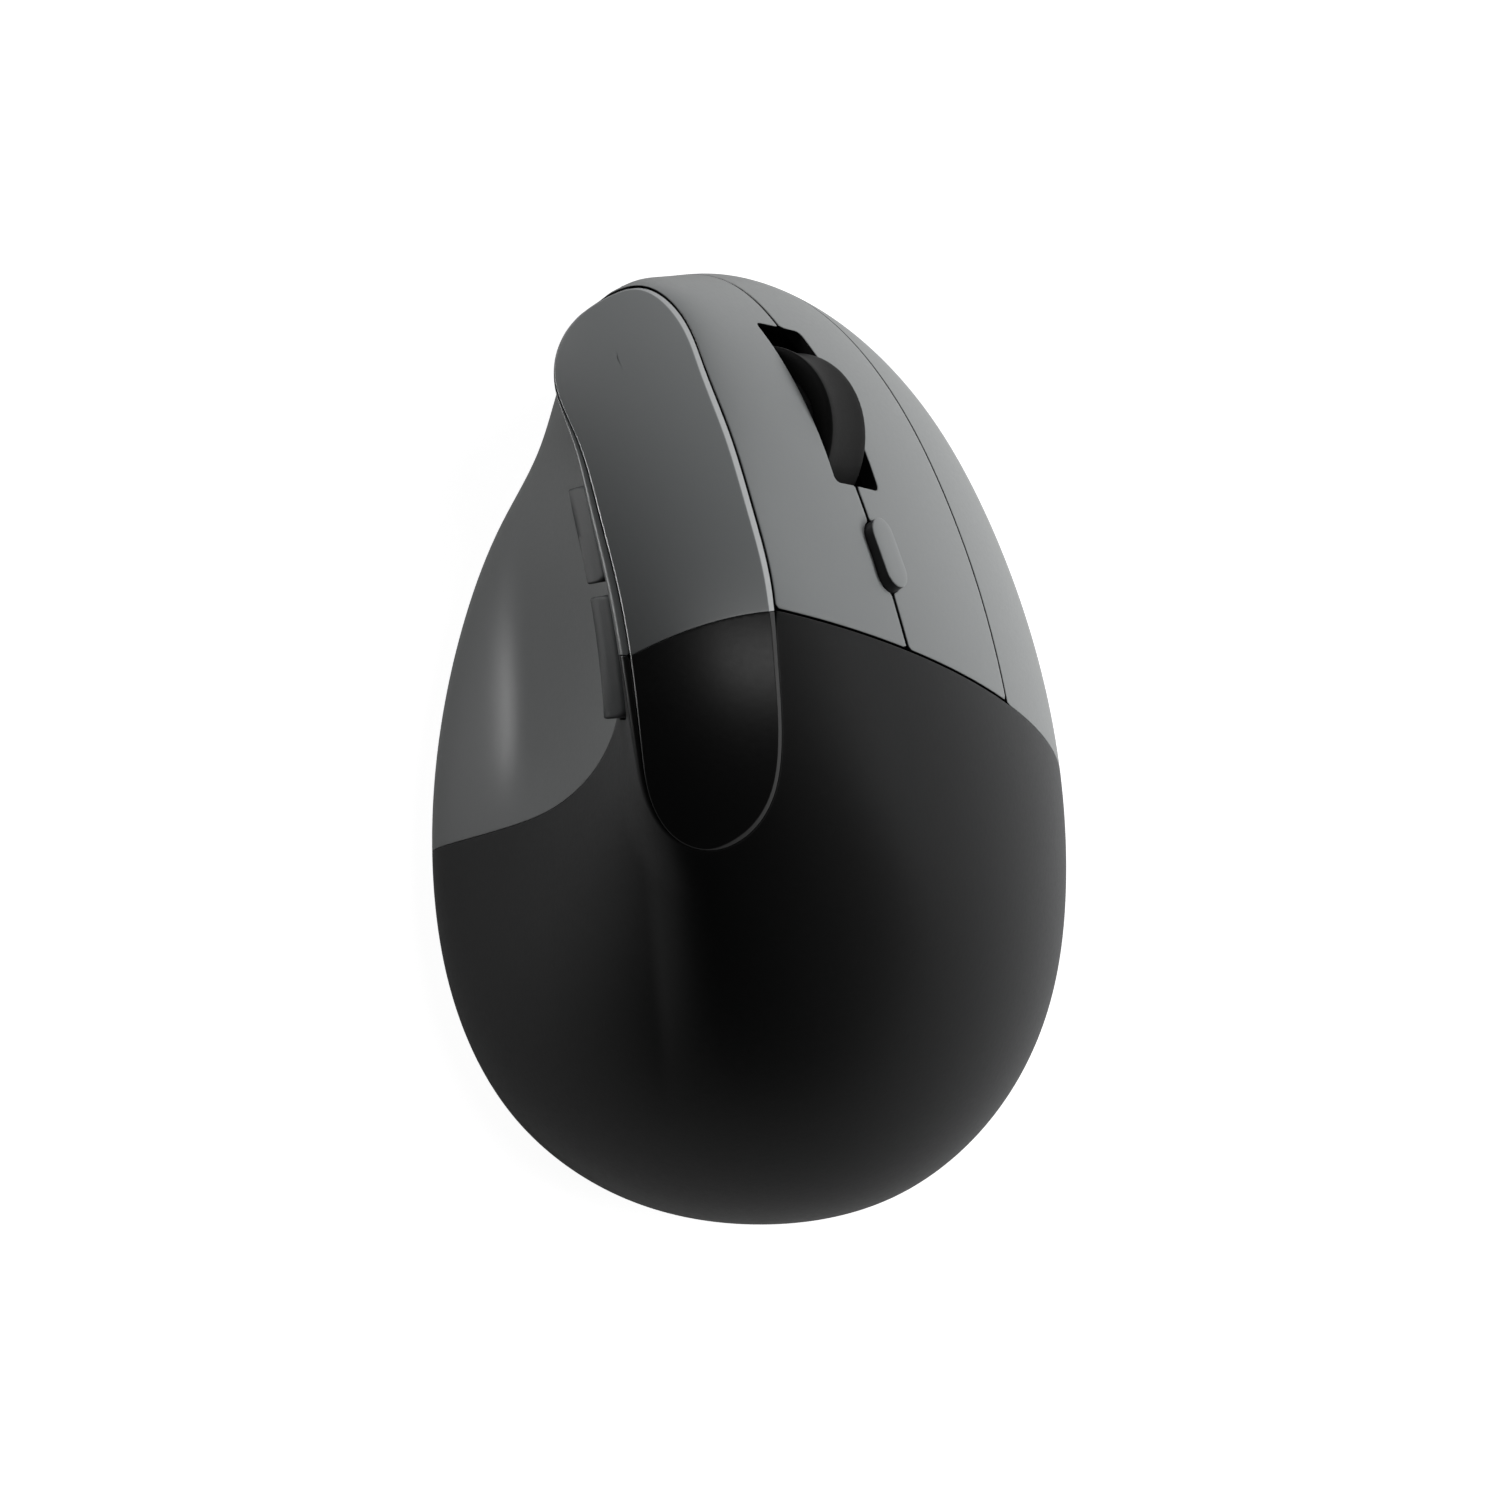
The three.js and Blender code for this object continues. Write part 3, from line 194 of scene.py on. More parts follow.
def bevel(t):
    """Width of the bevel between crest strip and side; the strip overhangs the side at its front left."""
    turn = np.degrees(np.mod(t, 2 * math.pi))
    return full_bevel(t) * (1 - 0.9 * smoothstep(92, 112, turn) * smoothstep(156, 143, turn))


def place(t, radius, z):
    x, y = start(t)
    return np.stack([x + radius * np.cos(t), y + radius * np.sin(t), z + 0 * t], axis=-1)


def crest_edge(t):
    """The crest strip's edge in direction t."""
    edge = place(t, crest_radius(t), 0)
    edge[..., 2] = crest_height(edge[..., 0], edge[..., 1])
    return edge


def groove(x, y):
    """Depth of the thumb's hollow, and of the fold running rearwards from the crest strip's thumb side."""
    aside = -12.1 - 0.08 * y - 0.0031 * np.maximum(y, 0) ** 2 - x
    rise, fall = np.maximum((aside + 7) / 7.4, 0) ** 2, smoothstep(13, -0.6, aside)
    fold = least(0.2, rise, fall) * smoothstep(-3, -13, y) * smoothstep(-44, -24, y)
    hollow = np.exp(-(((aside - 13) / 3.6) ** 2)) * smoothstep(36, 26, y) * smoothstep(-12, 0, y)
    return FOLD * fold + HOLLOW * hollow


def skin(t, v):
    """The outer skin: v is 0 at the lower rim, 1 at the bevel and 1 + BEVEL at the crest strip's edge."""
    crest, wide, crest_z = crest_radius(t), wide_radius(t), crest_edge(t)[..., 2]
    dip, edge, z = np.radians(dip_angle(t)), bevel(t), wide_z(t)
    top = (crest + edge, crest_z - 0.9 * edge)
    a = np.clip(v / TURN, 0, 1) * math.pi / 2
    foot = (wide - RIM_INSET * (1 - np.sin(a)), FLOOR_Z + (z - FLOOR_Z) * (1 - np.cos(a)))
    u = np.clip((v - TURN) / (1 - TURN), 0, 1)
    pull = (top[0] + pull_out(t) * np.cos(dip), top[1] - pull_out(t) * np.sin(dip))
    weights = ((1 - u) ** 3, 3 * u * (1 - u) ** 2, 3 * u * u * (1 - u), u**3)
    flank = [
        sum(w * q for w, q in zip(weights, (low, up, pull[k], top[k])))
        for k, (low, up) in enumerate([(wide, wide), (z, z + pull_up(t))])
    ]
    k = np.clip((v - 1) / BEVEL, 0, 1)
    lift = edge * (0.3 + 0.6 * np.sin(dip))
    corner = (top[0] - lift * np.cos(dip), top[1] + lift * np.sin(dip))
    brow = [
        (1 - k) ** 2 * top[i] + 2 * k * (1 - k) * corner[i] + k * k * (crest, crest_z)[i] for i in (0, 1)
    ]
    radius, height = (np.select([v < TURN, v < 1], [foot[i], flank[i]], brow[i]) for i in (0, 1))
    p = place(t, radius, height)
    p[..., 2] -= groove(p[..., 0], p[..., 1]) * smoothstep(12, 26, height) * smoothstep(1, 0.93, v)
    return p


def normal_of(surface, a, b, b_low, b_high, e=1e-3):
    """The outward normal of a surface over two parameters."""
    around = surface(a + e, b) - surface(a - e, b)
    rise = surface(a, np.minimum(b + e, b_high)) - surface(a, np.maximum(b - e, b_low))
    return unit(np.cross(around, rise))


def skin_normal(t, v):
    return normal_of(skin, t, v, 0, 1 + BEVEL)


# ---------------------------------------------------------------- frames and seams

def turned(degrees, axis):
    return Matrix.Rotation(math.radians(degrees), 4, axis)


# frames of the finger side, the wheel and the speed button: Z points out of the slope, Y to the front
FINGER = np.array(
    Matrix.Rotation(SLOPE, 4, "Y") @ Matrix.Translation((-34.7, 34.6, 25.7)) @ turned(-28, "X")
)
WHEEL = FINGER @ np.array(turned(-9, "Z"))
SPEED = FINGER @ np.array(Matrix.Translation((-1.7, -18.8, 0)) @ turned(4, "Z"))


def within(matrix, p):
    """Points in a frame's own coordinates."""
    inverse = np.linalg.inv(matrix)
    return p @ inverse[:3, :3].T + inverse[:3, 3]


def outside(matrix, points):
    """Points given in a frame, in the model's coordinates."""
    return points @ matrix[:3, :3].T + matrix[:3, 3]


def slope_uw(p):
    """Down the slope of the finger side, and straight out of it."""
    x, z = p[..., 0], p[..., 2]
    return x * math.cos(SLOPE) - z * math.sin(SLOPE), x * math.sin(SLOPE) + z * math.cos(SLOPE)


# The from_ functions give signed distances from seams, holes and edges, in millimetres or close to it.

def from_long_seam(p, up, middle, bend):
    """From a seam that runs forwards over the slope, this far up it and bowed about its middle."""
    u, y = slope_uw(p)[0], p[..., 1] - middle
    return (u + up - bend * y**2) / np.hypot(1, 2 * bend * y)


def from_mid(p):
    """From the seam between the main buttons, over 0 on the right button."""
    return from_long_seam(p, 36.9, 25, 0.0085)


def from_side(p):
    """From the seam between right button and finger panel, over 0 on the panel."""
    return from_long_seam(p, 15.6, 33, 0.0024)


def from_rear(p):
    """From the finger side's seam with the rear shell, over 0 in front of it."""
    u, y = slope_uw(p)[0], p[..., 1]
    line = 15.6 - 0.195 * (u + 56) - 0.0012 * (u + 56) ** 2
    return (y - line) / np.hypot(1, 0.195 + 0.0024 * (u + 56))


def from_thumb(p):
    """From the thumb side's seam with the rear shell, over 0 in front of it."""
    z = p[..., 2] - 9.8
    line = np.minimum(-11.4 + 0.165 * z + 1.4e-6 * z**4, 10.5)
    return (p[..., 1] - line) / np.hypot(1, 0.165 + 5.6e-6 * z**3)


def from_crest_line(p):
    """From the seam between crest cover and cap, over 0 on the cover."""
    x = 2.9 - p[..., 0]
    return p[..., 1] - (15.5 - 0.08 * x - 0.0142 * x * x)


def rounded_box(x, y, half_x, half_y, radius):
    """Distance outside a rounded rectangle; below zero inside."""
    qx, qy = np.abs(x) - half_x + radius, np.abs(y) - half_y + radius
    return np.hypot(np.maximum(qx, 0), np.maximum(qy, 0)) + np.minimum(np.maximum(qx, qy), 0) - radius


def from_slot(p):
    """From the wheel's slot."""
    q = within(WHEEL, p)
    box = rounded_box(q[..., 0], q[..., 1] - SLOT_Y, SLOT_HALF_X, SLOT_HALF_Y, SLOT_CORNER)
    return np.where(q[..., 2] > SLOT_LOW, box, FAR)


def from_speed(p):
    """From the hole for the speed button."""
    q = within(SPEED, p)
    half_x, half_y = SPEED_WIDTH / 2 + SPEED_GAP, SPEED_LENGTH / 2 + SPEED_GAP
    return np.where(q[..., 2] > 0, rounded_box(q[..., 0], q[..., 1], half_x, half_y, half_x), FAR)


def under_crest(p):
    """Below 0 in the corner behind the nose and under the crest strip, outside the left button."""
    q = within(FINGER, p)
    return np.maximum(np.maximum(q[..., 0] - UNDER_X, q[..., 1] - UNDER_Y), q[..., 2] - UNDER_Z)


def thumb_drop(p):
    """Depth below the thumb buttons' top line."""
    return crest_height(CREST_X - 9, p[..., 1]) - THUMB_BELOW - p[..., 2]


def from_thumb_button(p, name, grow=0.0):
    """From a thumb button's outline, or from its hole when grown."""
    rear, front = THUMB_BUTTONS[name]
    along, across = p[..., 1] - (rear + front) / 2, thumb_drop(p) - THUMB_HEIGHT / 2
    half_y, half_z = (front - rear) / 2 + grow, THUMB_HEIGHT / 2 + grow
    return np.where(p[..., 0] < -9, rounded_box(along, across, half_y, half_z, THUMB_CORNER), FAR)


def crest_gap(t, p):
    """Width of the gap round the crest strip: a hairline, but wide beside the left button."""
    beside_button = smoothstep(-0.5, 0.4, np.cos(t)) * smoothstep(13, 16, p[..., 1])
    return 0.09 + 0.31 * beside_button


def from_crest(t, v, p):
    """Distance from the crest strip's edge along the skin."""
    edge = crest_edge(t)
    e = 1e-3
    way = unit((crest_edge(t + e) - crest_edge(t - e))[..., :2])
    across = (p - edge)[..., 0] * way[..., 1] - (p - edge)[..., 1] * way[..., 0]
    return np.hypot(across, (p - edge)[..., 2])


# ---------------------------------------------------------------- shells cut from a surface

class Surface:
    """A surface over two parameters a and b, with their grid and a direction for its walls.

    weld gives each row of the grid the row whose first point it shares.
    """

    def __init__(self, point, a, b, wraps, ahead, weld=None):
        self.point, self.a, self.b, self.wraps, self.ahead, self.weld = point, a, b, wraps, ahead, weld

    def grid(self):
        """Parameters of all grid points and the triangles between them."""
        na, nb = len(self.a), len(self.b)
        pa, pb = (g.ravel() for g in np.meshgrid(self.a, self.b, indexing="ij"))
        index = np.arange(na * nb).reshape(na, nb)
        if self.weld is not None:
            index[:, 0] = index[self.weld, 0]
        after = np.roll(index, -1, axis=0) if self.wraps else index[1:]
        index = index if self.wraps else index[:-1]
        c = [q.ravel() for q in (index[:, :-1], after[:, :-1], after[:, 1:], index[:, 1:])]
        tris = np.concatenate([np.stack([c[0], c[1], c[2]], 1), np.stack([c[0], c[2], c[3]], 1)])
        flat = (tris[:, 0] == tris[:, 1]) | (tris[:, 1] == tris[:, 2]) | (tris[:, 0] == tris[:, 2])
        return pa, pb, tris[~flat]


def slide(surface, level, a, b, target, rounds=5):
    """Moves parameters over the surface until level(a, b, point) is target."""
    lo, hi = surface.b[0], surface.b[-1]
    for _ in range(rounds):
        p = surface.point(a, b)
        now = level(a, b, p)
        ea, eb = 2e-4 * (surface.a[-1] - surface.a[0]), 2e-4 * (hi - lo)
        eb = np.where(b + eb > hi, -eb, eb)
        pa, pb = surface.point(a + ea, b), surface.point(a, b + eb)
        ma, mb = (np.maximum(np.linalg.norm(q - p, axis=1), 1e-9) for q in (pa, pb))
        ga, gb = (level(a + ea, b, pa) - now) / ma, (level(a, b + eb, pb) - now) / mb
        step = np.clip((target - now) / np.maximum(ga * ga + gb * gb, 1e-4), -1, 1)
        stride = np.hypot(step * ga, step * gb)
        step = step * np.minimum(1, 0.6 / np.maximum(stride, 1e-9))
        a = a + step * ga / ma * ea
        b = np.clip(b + step * gb / mb * eb, lo, hi)
    return a, b


def clip(surface, level):
    """The part of the grid where level is over 1, as parameters and triangles."""
    a, b, tris = surface.grid()
    value = level(a, b, surface.point(a, b)) - 1
    near = np.abs(value) < 0.25
    used = np.zeros(len(a), bool)
    used[tris.ravel()] = True
    near &= used
    a2, b2 = slide(surface, level, a[near], b[near], 1.0, 4)
    moved = np.linalg.norm(surface.point(a2, b2) - surface.point(a[near], b[near]), axis=1)
    fits = np.abs(level(a2, b2, surface.point(a2, b2)) - 1) < 0.02
    snapped = (moved < 0.09) & fits
    keep = np.flatnonzero(near)[snapped]
    a[keep], b[keep], value[keep] = a2[snapped], b2[snapped], 0

    sign = value[tris]
    whole = (sign >= 0).all(1) & (sign > 0).any(1)
    crossing = (sign > 0).any(1) & (sign < 0).any(1)
    kept = tris[whole].tolist()
    edges = {}
    cells = []
    for tri in tris[crossing].tolist():
        cell = []
        for i, j in zip(tri, tri[1:] + tri[:1]):
            if value[i] >= 0:
                cell.append(i)
            if value[i] * value[j] < 0:
                key = (min(i, j), max(i, j))
                cell.append(edges.setdefault(key, len(a) + len(edges)))
        cells.append(cell)
    if edges:
        pairs = np.array(list(edges))
        i, j = pairs.T
        da = a[j] - a[i]
        if surface.wraps:
            da = np.mod(da + math.pi, 2 * math.pi) - math.pi
        low, high = np.zeros(len(i)), np.ones(len(i))
        rising = value[i] < 0
        for _ in range(14):
            k = (low + high) / 2
            pa, pb = a[i] + k * da, b[i] + k * (b[j] - b[i])
            over = level(pa, pb, surface.point(pa, pb)) > 1
            up = over == rising
            high, low = np.where(up, k, high), np.where(up, low, k)
        a, b = np.append(a, pa), np.append(b, pb)
    for cell in cells:
        kept += [[cell[0], cell[k], cell[k + 1]] for k in range(1, len(cell) - 1)]
    kept = largest_part(np.array(kept))
    names, flat = np.unique(kept, return_inverse=True)
    return a[names], b[names], flat.reshape(-1, 3)


def largest_part(tris):
    """The triangles of the largest connected part."""
    label = np.arange(tris.max() + 1)
    while True:
        low = label[tris].min(axis=1)
        new = label.copy()
        for k in range(3):
            np.minimum.at(new, tris[:, k], low)
        new = new[new]
        if (new == label).all():
            break
        label = new
    names, counts = np.unique(label[tris[:, 0]], return_counts=True)
    return tris[label[tris[:, 0]] == names[counts.argmax()]]


def border(tris):
    """Directed edges on the border of a set of triangles."""
    edges = np.concatenate([tris[:, [0, 1]], tris[:, [1, 2]], tris[:, [2, 0]]])
    seen = {tuple(e) for e in edges.tolist()}
    return [e for e in edges.tolist() if (e[1], e[0]) not in seen]


def shell(surface, level, radius, wall=WALL, steps=4):
    """A closed body: the surface where level is over 0, its edges rounded, with walls and an inner side.

    level is the distance from the edge over radius, so the rounding lies where it runs from 1 to 0.
    Returns the points, the faces, and which faces are walls or the inner side.
    """
    a, b, tris = clip(surface, level)
    edge = border(tris)
    rim = sorted({i for e in edge for i in e})
    number = {v: k for k, v in enumerate(rim)}
    p, way = surface.point(a, b), surface.ahead(a, b)
    ra, rb = a[rim], b[rim]
    on_level = np.abs(level(ra, rb, p[rim]) - 1) < 0.05
    rows = [p]
    for k in range(1, steps + 1):
        turn = k / steps * math.pi / 2
        na, nb = slide(surface, level, ra, rb, 1 - math.sin(turn))
        ra, rb = np.where(on_level, na, ra), np.where(on_level, nb, rb)
        q, d = surface.point(ra, rb), surface.ahead(ra, rb)
        rows.append(q - np.where(on_level, radius * (1 - math.cos(turn)), 0)[:, None] * d)
    rows += [q - wall * d, p - wall * way]
    first = np.cumsum([0] + [len(r) for r in rows])
    faces = tris.tolist()
    last = len(rows) - 1
    for i, j in edge:
        ring = [i] + [first[k] + number[i] for k in range(1, last)] + [first[last] + i]
        after = [j] + [first[k] + number[j] for k in range(1, last)] + [first[last] + j]
        faces += [[after[k], ring[k], ring[k + 1], after[k + 1]] for k in range(last)]
    faces += (tris[:, ::-1] + first[last]).tolist()
    side = [False] * steps + [True] * (last - steps)  # from an edge inwards: its rounding, then its wall
    inside = [False] * len(tris) + side * len(edge) + [True] * len(tris)
    return np.concatenate(rows), faces, inside


# ---------------------------------------------------------------- objects

def make(name, points, faces, finishes, parts=None, sharp=38):
    """A mesh object from points in millimetres; parts gives the number of each face's finish."""
    mesh = bpy.data.meshes.new(name)
    mesh.from_pydata((np.asarray(points) * MM).tolist(), [], [list(map(int, f)) for f in faces])
    for finish in finishes:
        mesh.materials.append(finish)
    if parts is not None:
        mesh.polygons.foreach_set("material_index", np.asarray(parts, np.int32))
    bm = bmesh.new()
    bm.from_mesh(mesh)
    bmesh.ops.remove_doubles(bm, verts=bm.verts, dist=2e-6)
    bmesh.ops.dissolve_degenerate(bm, edges=bm.edges, dist=1e-6)
    bmesh.ops.recalc_face_normals(bm, faces=bm.faces)
    bm.to_mesh(mesh)
    bm.free()
    mesh.shade_smooth()
    mesh.set_sharp_from_angle(angle=math.radians(sharp))
    obj = bpy.data.objects.new(name, mesh)
    bpy.context.scene.collection.objects.link(obj)
    return obj


def stand_for(obj, body, node):
    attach(obj, body)
    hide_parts(node)


# ---------------------------------------------------------------- materials

def material(name, colour, roughness, grain=1600, bump=0.05, drift=0.06, rim=None, **inputs):
    """A procedural finish: fine grain, slow changes of tint, and, given rim, a painted sheen for soft-touch
    skins: the colour turns paler towards grazing view.
    """
    made = bpy.data.materials.new(name)
    made.use_nodes = True
    nodes, links = made.node_tree.nodes, made.node_tree.links
    shader = nodes["Principled BSDF"]
    where = nodes.new("ShaderNodeTexCoord")

    def noise(scale, detail):
        node = nodes.new("ShaderNodeTexNoise")
        node.inputs["Scale"].default_value = scale
        node.inputs["Detail"].default_value = detail
        links.new(where.outputs["Object"], node.inputs["Vector"])
        return node.outputs["Fac"]

    def spread(value, low, high):
        node = nodes.new("ShaderNodeMapRange")
        node.inputs["To Min"].default_value = low
        node.inputs["To Max"].default_value = high
        links.new(value, node.inputs["Value"])
        return node.outputs["Result"]

    slow, fine = noise(45, 3), noise(grain, 2)
    tint = nodes.new("ShaderNodeMix")
    tint.data_type = "RGBA"
    tint.inputs["A"].default_value = (*[c * (1 - drift) for c in colour], 1)
    tint.inputs["B"].default_value = (*[min(1, c * (1 + drift)) for c in colour], 1)
    links.new(spread(slow, 0, 1), tint.inputs["Factor"])
    skin_colour = tint.outputs["Result"]
    # rim paints a sheen: the base colour is mixed towards the paler rim colour as the surface turns edge-on
    # to the view
    if rim:
        facing, square, painted_sheen_mix = (nodes.new(f"ShaderNode{kind}") for kind in ("LayerWeight", "Math", "Mix"))
        facing.inputs["Blend"].default_value = 0.5
        square.operation = "POWER"
        square.inputs[1].default_value = 2
        painted_sheen_mix.data_type = "RGBA"
        painted_sheen_mix.inputs["B"].default_value = (*rim, 1)
        links.new(facing.outputs["Facing"], square.inputs[0])
        links.new(square.outputs["Value"], painted_sheen_mix.inputs["Factor"])
        links.new(skin_colour, painted_sheen_mix.inputs["A"])
        skin_colour = painted_sheen_mix.outputs["Result"]
    links.new(skin_colour, shader.inputs["Base Color"])
    links.new(spread(fine, roughness - 0.04, roughness + 0.04), shader.inputs["Roughness"])
    relief = nodes.new("ShaderNodeBump")
    relief.inputs["Strength"].default_value = bump
    relief.inputs["Distance"].default_value = 0.0001
    links.new(fine, relief.inputs["Height"])
    links.new(relief.outputs["Normal"], shader.inputs["Normal"])
    for key, value in inputs.items():
        shader.inputs[key.replace("_", " ")].default_value = value
    return made


# rim= paints a sheen on the graphite shells: paler towards grazing view
GRAPHITE = material(
    "graphite_finish", (0.082, 0.086, 0.087), 0.38, bump=0.06, drift=0.03, rim=(0.2, 0.205, 0.205),
    Specular_IOR_Level=0.5,
)
BUTTON = material(
    "thumb_button_finish", (0.05, 0.053, 0.054), 0.45, bump=0.05, drift=0.03, Specular_IOR_Level=0.15
)
# Paler graphite for the crest strip's chamfer: a painted highlight along its edge.
GRAPHITE_PAINTED_HIGHLIGHT = material("graphite_painted_highlight_finish", (0.19, 0.195, 0.197), 0.3, bump=0.03, drift=0.03)
# rim= paints a sheen on the soft black shell: paler towards grazing view
SOFT_BLACK = material(
    "soft_black_finish", (0.003, 0.003, 0.003), 0.33, bump=0.08, drift=0.1, rim=(0.045, 0.046, 0.047),
    Specular_IOR_Level=0.2,
)
# Paler black for the crest cap's chamfer: a painted highlight along its edge.
BLACK_PAINTED_HIGHLIGHT = material(
    "black_painted_highlight_finish", (0.022, 0.022, 0.022), 0.3, bump=0.04, drift=0.1, Specular_IOR_Level=0.3
)
# Near-black inside of the shells: the bare inner plastic, darkened further to paint shade into the seams
# and gaps between parts; it also darkens the tyre's side walls.
INNER_BLACK_AND_SHADE = material(
    "inner_black_and_shade_finish", (0.0012, 0.0012, 0.0012), 0.7, grain=900, bump=0.1, drift=0.1,
    Specular_IOR_Level=0.1,
)
RUBBER = material(
    "tyre_finish", (0.006, 0.006, 0.006), 0.5, grain=2200, bump=0.15, drift=0.1, Specular_IOR_Level=0.4
)
PLASTIC = material(
    "black_plastic_finish", (0.008, 0.008, 0.0085), 0.5, grain=1200, bump=0.2, drift=0.1,
    Specular_IOR_Level=0.3,
)
GLIDE = material("glide_finish", (0.03, 0.03, 0.033), 0.3, grain=500, bump=0.05, drift=0.1)
BOARD = material("board_finish", (0.008, 0.05, 0.02), 0.4, grain=700, bump=0.1, drift=0.15, Coat_Weight=0.3)
STEEL = material("steel_finish", (0.55, 0.55, 0.56), 0.3, grain=2500, bump=0.08, drift=0.05, Metallic=1)
LENS = material("lens_finish", (0.8, 0.83, 0.86), 0.08, bump=0.01, drift=0.02, Transmission_Weight=0.9)
WHITE = material("white_plastic_finish", (0.7, 0.7, 0.67), 0.45, grain=1200, bump=0.1, drift=0.04)
CELL = material(
    "cell_wrap_finish", (0.05, 0.055, 0.065), 0.3, grain=400, bump=0.03, drift=0.2, Coat_Weight=0.4
)
CABLE = material("cable_finish", (0.62, 0.6, 0.54), 0.45, grain=600, bump=0.08, drift=0.08)

SLOT_FINISH = {
    "graphite_shell": GRAPHITE, "black_shell": SOFT_BLACK, "tyre_rubber": RUBBER, "black_plastic": PLASTIC,
    "glide_pad": GLIDE, "board": BOARD, "steel": STEEL, "clear_lens": LENS, "white_plastic": WHITE,
    "cell_wrap": CELL, "cable": CABLE,
}


# ---------------------------------------------------------------- outer shells

def finished(points, faces, inside):
    """Number of each face's finish: the near-black inner one inside, bare plastic darkened to paint shade
    into the gaps between shells, but the outer one on walls seen at the front left.
    """
    shows = (points[:, 0] < SHOWN_X) & (points[:, 1] > SHOWN_Y)
    return [int(hidden and not all(shows[face])) for face, hidden in zip(faces, inside)]


def crest_wall(t):
    """Direction of the walls on both sides of the gap round the crest strip."""
    k = smoothstep(0.0, 0.3, np.cos(t))[..., None]
    return unit(mix(UP, PRESS, k))


def skin_ahead(t, v):
    """Wall direction of the shells: the way the fingers press on the slope, the normal elsewhere."""
    n = skin_normal(t, v)
    p = skin(t, v)
    k = smoothstep(0.35, 0.75, n @ PRESS)[..., None]
    way = unit(mix(n, PRESS, k))
    near = smoothstep(3.5, 0.2, from_crest(t, v, p))[..., None]
    return unit(mix(way, crest_wall(t), near))


SKIN_TURNS = 540
SKIN_ROWS = np.concatenate([
    np.linspace(0, TURN, 26, endpoint=False),
    np.linspace(TURN, 1, 130, endpoint=False),
    np.linspace(1, 1 + BEVEL, 7),
])
SKIN = Surface(skin, np.arange(SKIN_TURNS) * 2 * math.pi / SKIN_TURNS, SKIN_ROWS, True, skin_ahead)


# The _level functions say where a shell is: over 0 on it, counted in roundings of its edge.

def left_level(t, v, p):
    w = slope_uw(p)[1]
    return least(
        CORNER, (-from_mid(p) - MID_GAP / 2) / MOVING, (from_rear(p) - REAR_GAP) / MOVING,
        (from_crest(t, v, p) - crest_gap(t, p)) / MOVING, (w - BUTTON_LOW) / MOVING,
        (p[..., 0] - LEFT_END_X) / MOVING, under_crest(p) / MOVING,
        from_slot(p) / MOVING, from_speed(p) / MOVING,
    )


def right_level(t, v, p):
    w = slope_uw(p)[1]
    return least(
        CORNER, (from_mid(p) - MID_GAP / 2) / MOVING, (-from_side(p) - SIDE_GAP / 2) / MOVING,
        (from_rear(p) - REAR_GAP) / MOVING, (w - BUTTON_LOW) / MOVING,
        from_slot(p) / MOVING, from_speed(p) / MOVING,
    )


def finger_panel_level(t, v, p):
    w = slope_uw(p)[1]
    return least(
        CORNER, (from_side(p) - SIDE_GAP / 2) / FIXED, (from_rear(p) - PANEL_GAP) / FIXED,
        (w - BUTTON_LOW + NOSE_GAP) / FIXED,
    )


def thumb_panel_level(t, v, p):
    w = slope_uw(p)[1]
    front = np.where(p[..., 0] < DIVIDE_X, from_thumb(p) - PANEL_GAP, p[..., 1] - THUMB_FRONT_Y)
    beside = np.minimum(NOSE_Y - p[..., 1], DIVIDE_X - p[..., 0])
    nose = np.maximum.reduce([
        BUTTON_LOW - NOSE_GAP - w, LEFT_END_X - NOSE_GAP - p[..., 0], -under_crest(p) - 0.3, beside
    ])
    return least(
        CORNER, front / FIXED, nose / FIXED, (from_crest(t, v, p) - crest_gap(t, p)) / FIXED,
        *(from_thumb_button(p, name, THUMB_GAP) / FIXED for name in THUMB_BUTTONS),
    )


def rear_level(t, v, p):
    behind = np.where(p[..., 0] > DIVIDE_X, -from_rear(p), -from_thumb(p))
    return least(
        CORNER, behind / FIXED, (from_crest(t, v, p) - crest_gap(t, p)) / FIXED,
        from_thumb_button(p, "back_button", THUMB_GAP) / FIXED,
    )


for name, body, level, radius, slot in [
    ("left_button", "left_button", left_level, MOVING, "graphite_shell"),
    ("right_button", "right_button", right_level, MOVING, "graphite_shell"),
    ("finger_side_panel", "housing", finger_panel_level, FIXED, "graphite_shell"),
    ("thumb_side_panel", "housing", thumb_panel_level, FIXED, "graphite_shell"),
    ("rear_shell", "housing", rear_level, FIXED, "black_shell"),
]:
    points, faces, inside = shell(SKIN, level, radius)
    parts = finished(points, faces, inside)
    obj = make(f"fine_{name}", points, faces, [SLOT_FINISH[slot], INNER_BLACK_AND_SHADE], parts)
    stand_for(obj, body, name)


# ---------------------------------------------------------------- crest strip

def crest_chamfer(t):
    """Width and drop of the crest strip's edge: a chamfer on the finger side, crisp on the thumb side."""
    soft = smoothstep(0.0, 0.5, np.cos(t + 0.1)) * mix(0.7, 1, smoothstep(13, 17, crest_edge(t)[..., 1]))
    return 0.15 + 0.55 * soft, 0.12 + 0.5 * soft


def crest_surface(t, s):
    """The crest strip's top: s from 0 on the centre line to 1, then down its chamfer to 2."""
    width, drop = crest_chamfer(t)
    k = np.clip(s - 1, 0, 1)
    p = place(t, (crest_radius(t) - width) * np.minimum(s, 1) + width * k, 0)
    p[..., 2] = crest_height(p[..., 0], p[..., 1]) + CREST_PROUD - drop * (np.hypot(k, 0.15) - 0.15)
    return p


def crest_ahead(t, s):
    """Wall direction of the crest strip: straight down in the middle, turning to crest_wall at the edge."""
    return unit(mix(UP, crest_wall(t), smoothstep(0, 1, s)[..., None]))


def crest_weld():
    """Which points on the centre line are one: those across from each other, and the ones at its ends."""
    i = np.arange(CREST_TURNS)
    i = np.minimum(i, -i % CREST_TURNS)
    few = round(CREST_TURNS * 7 / 360)
    return np.where(i <= few, 0, np.where(i >= CREST_TURNS // 2 - few, CREST_TURNS // 2, i))


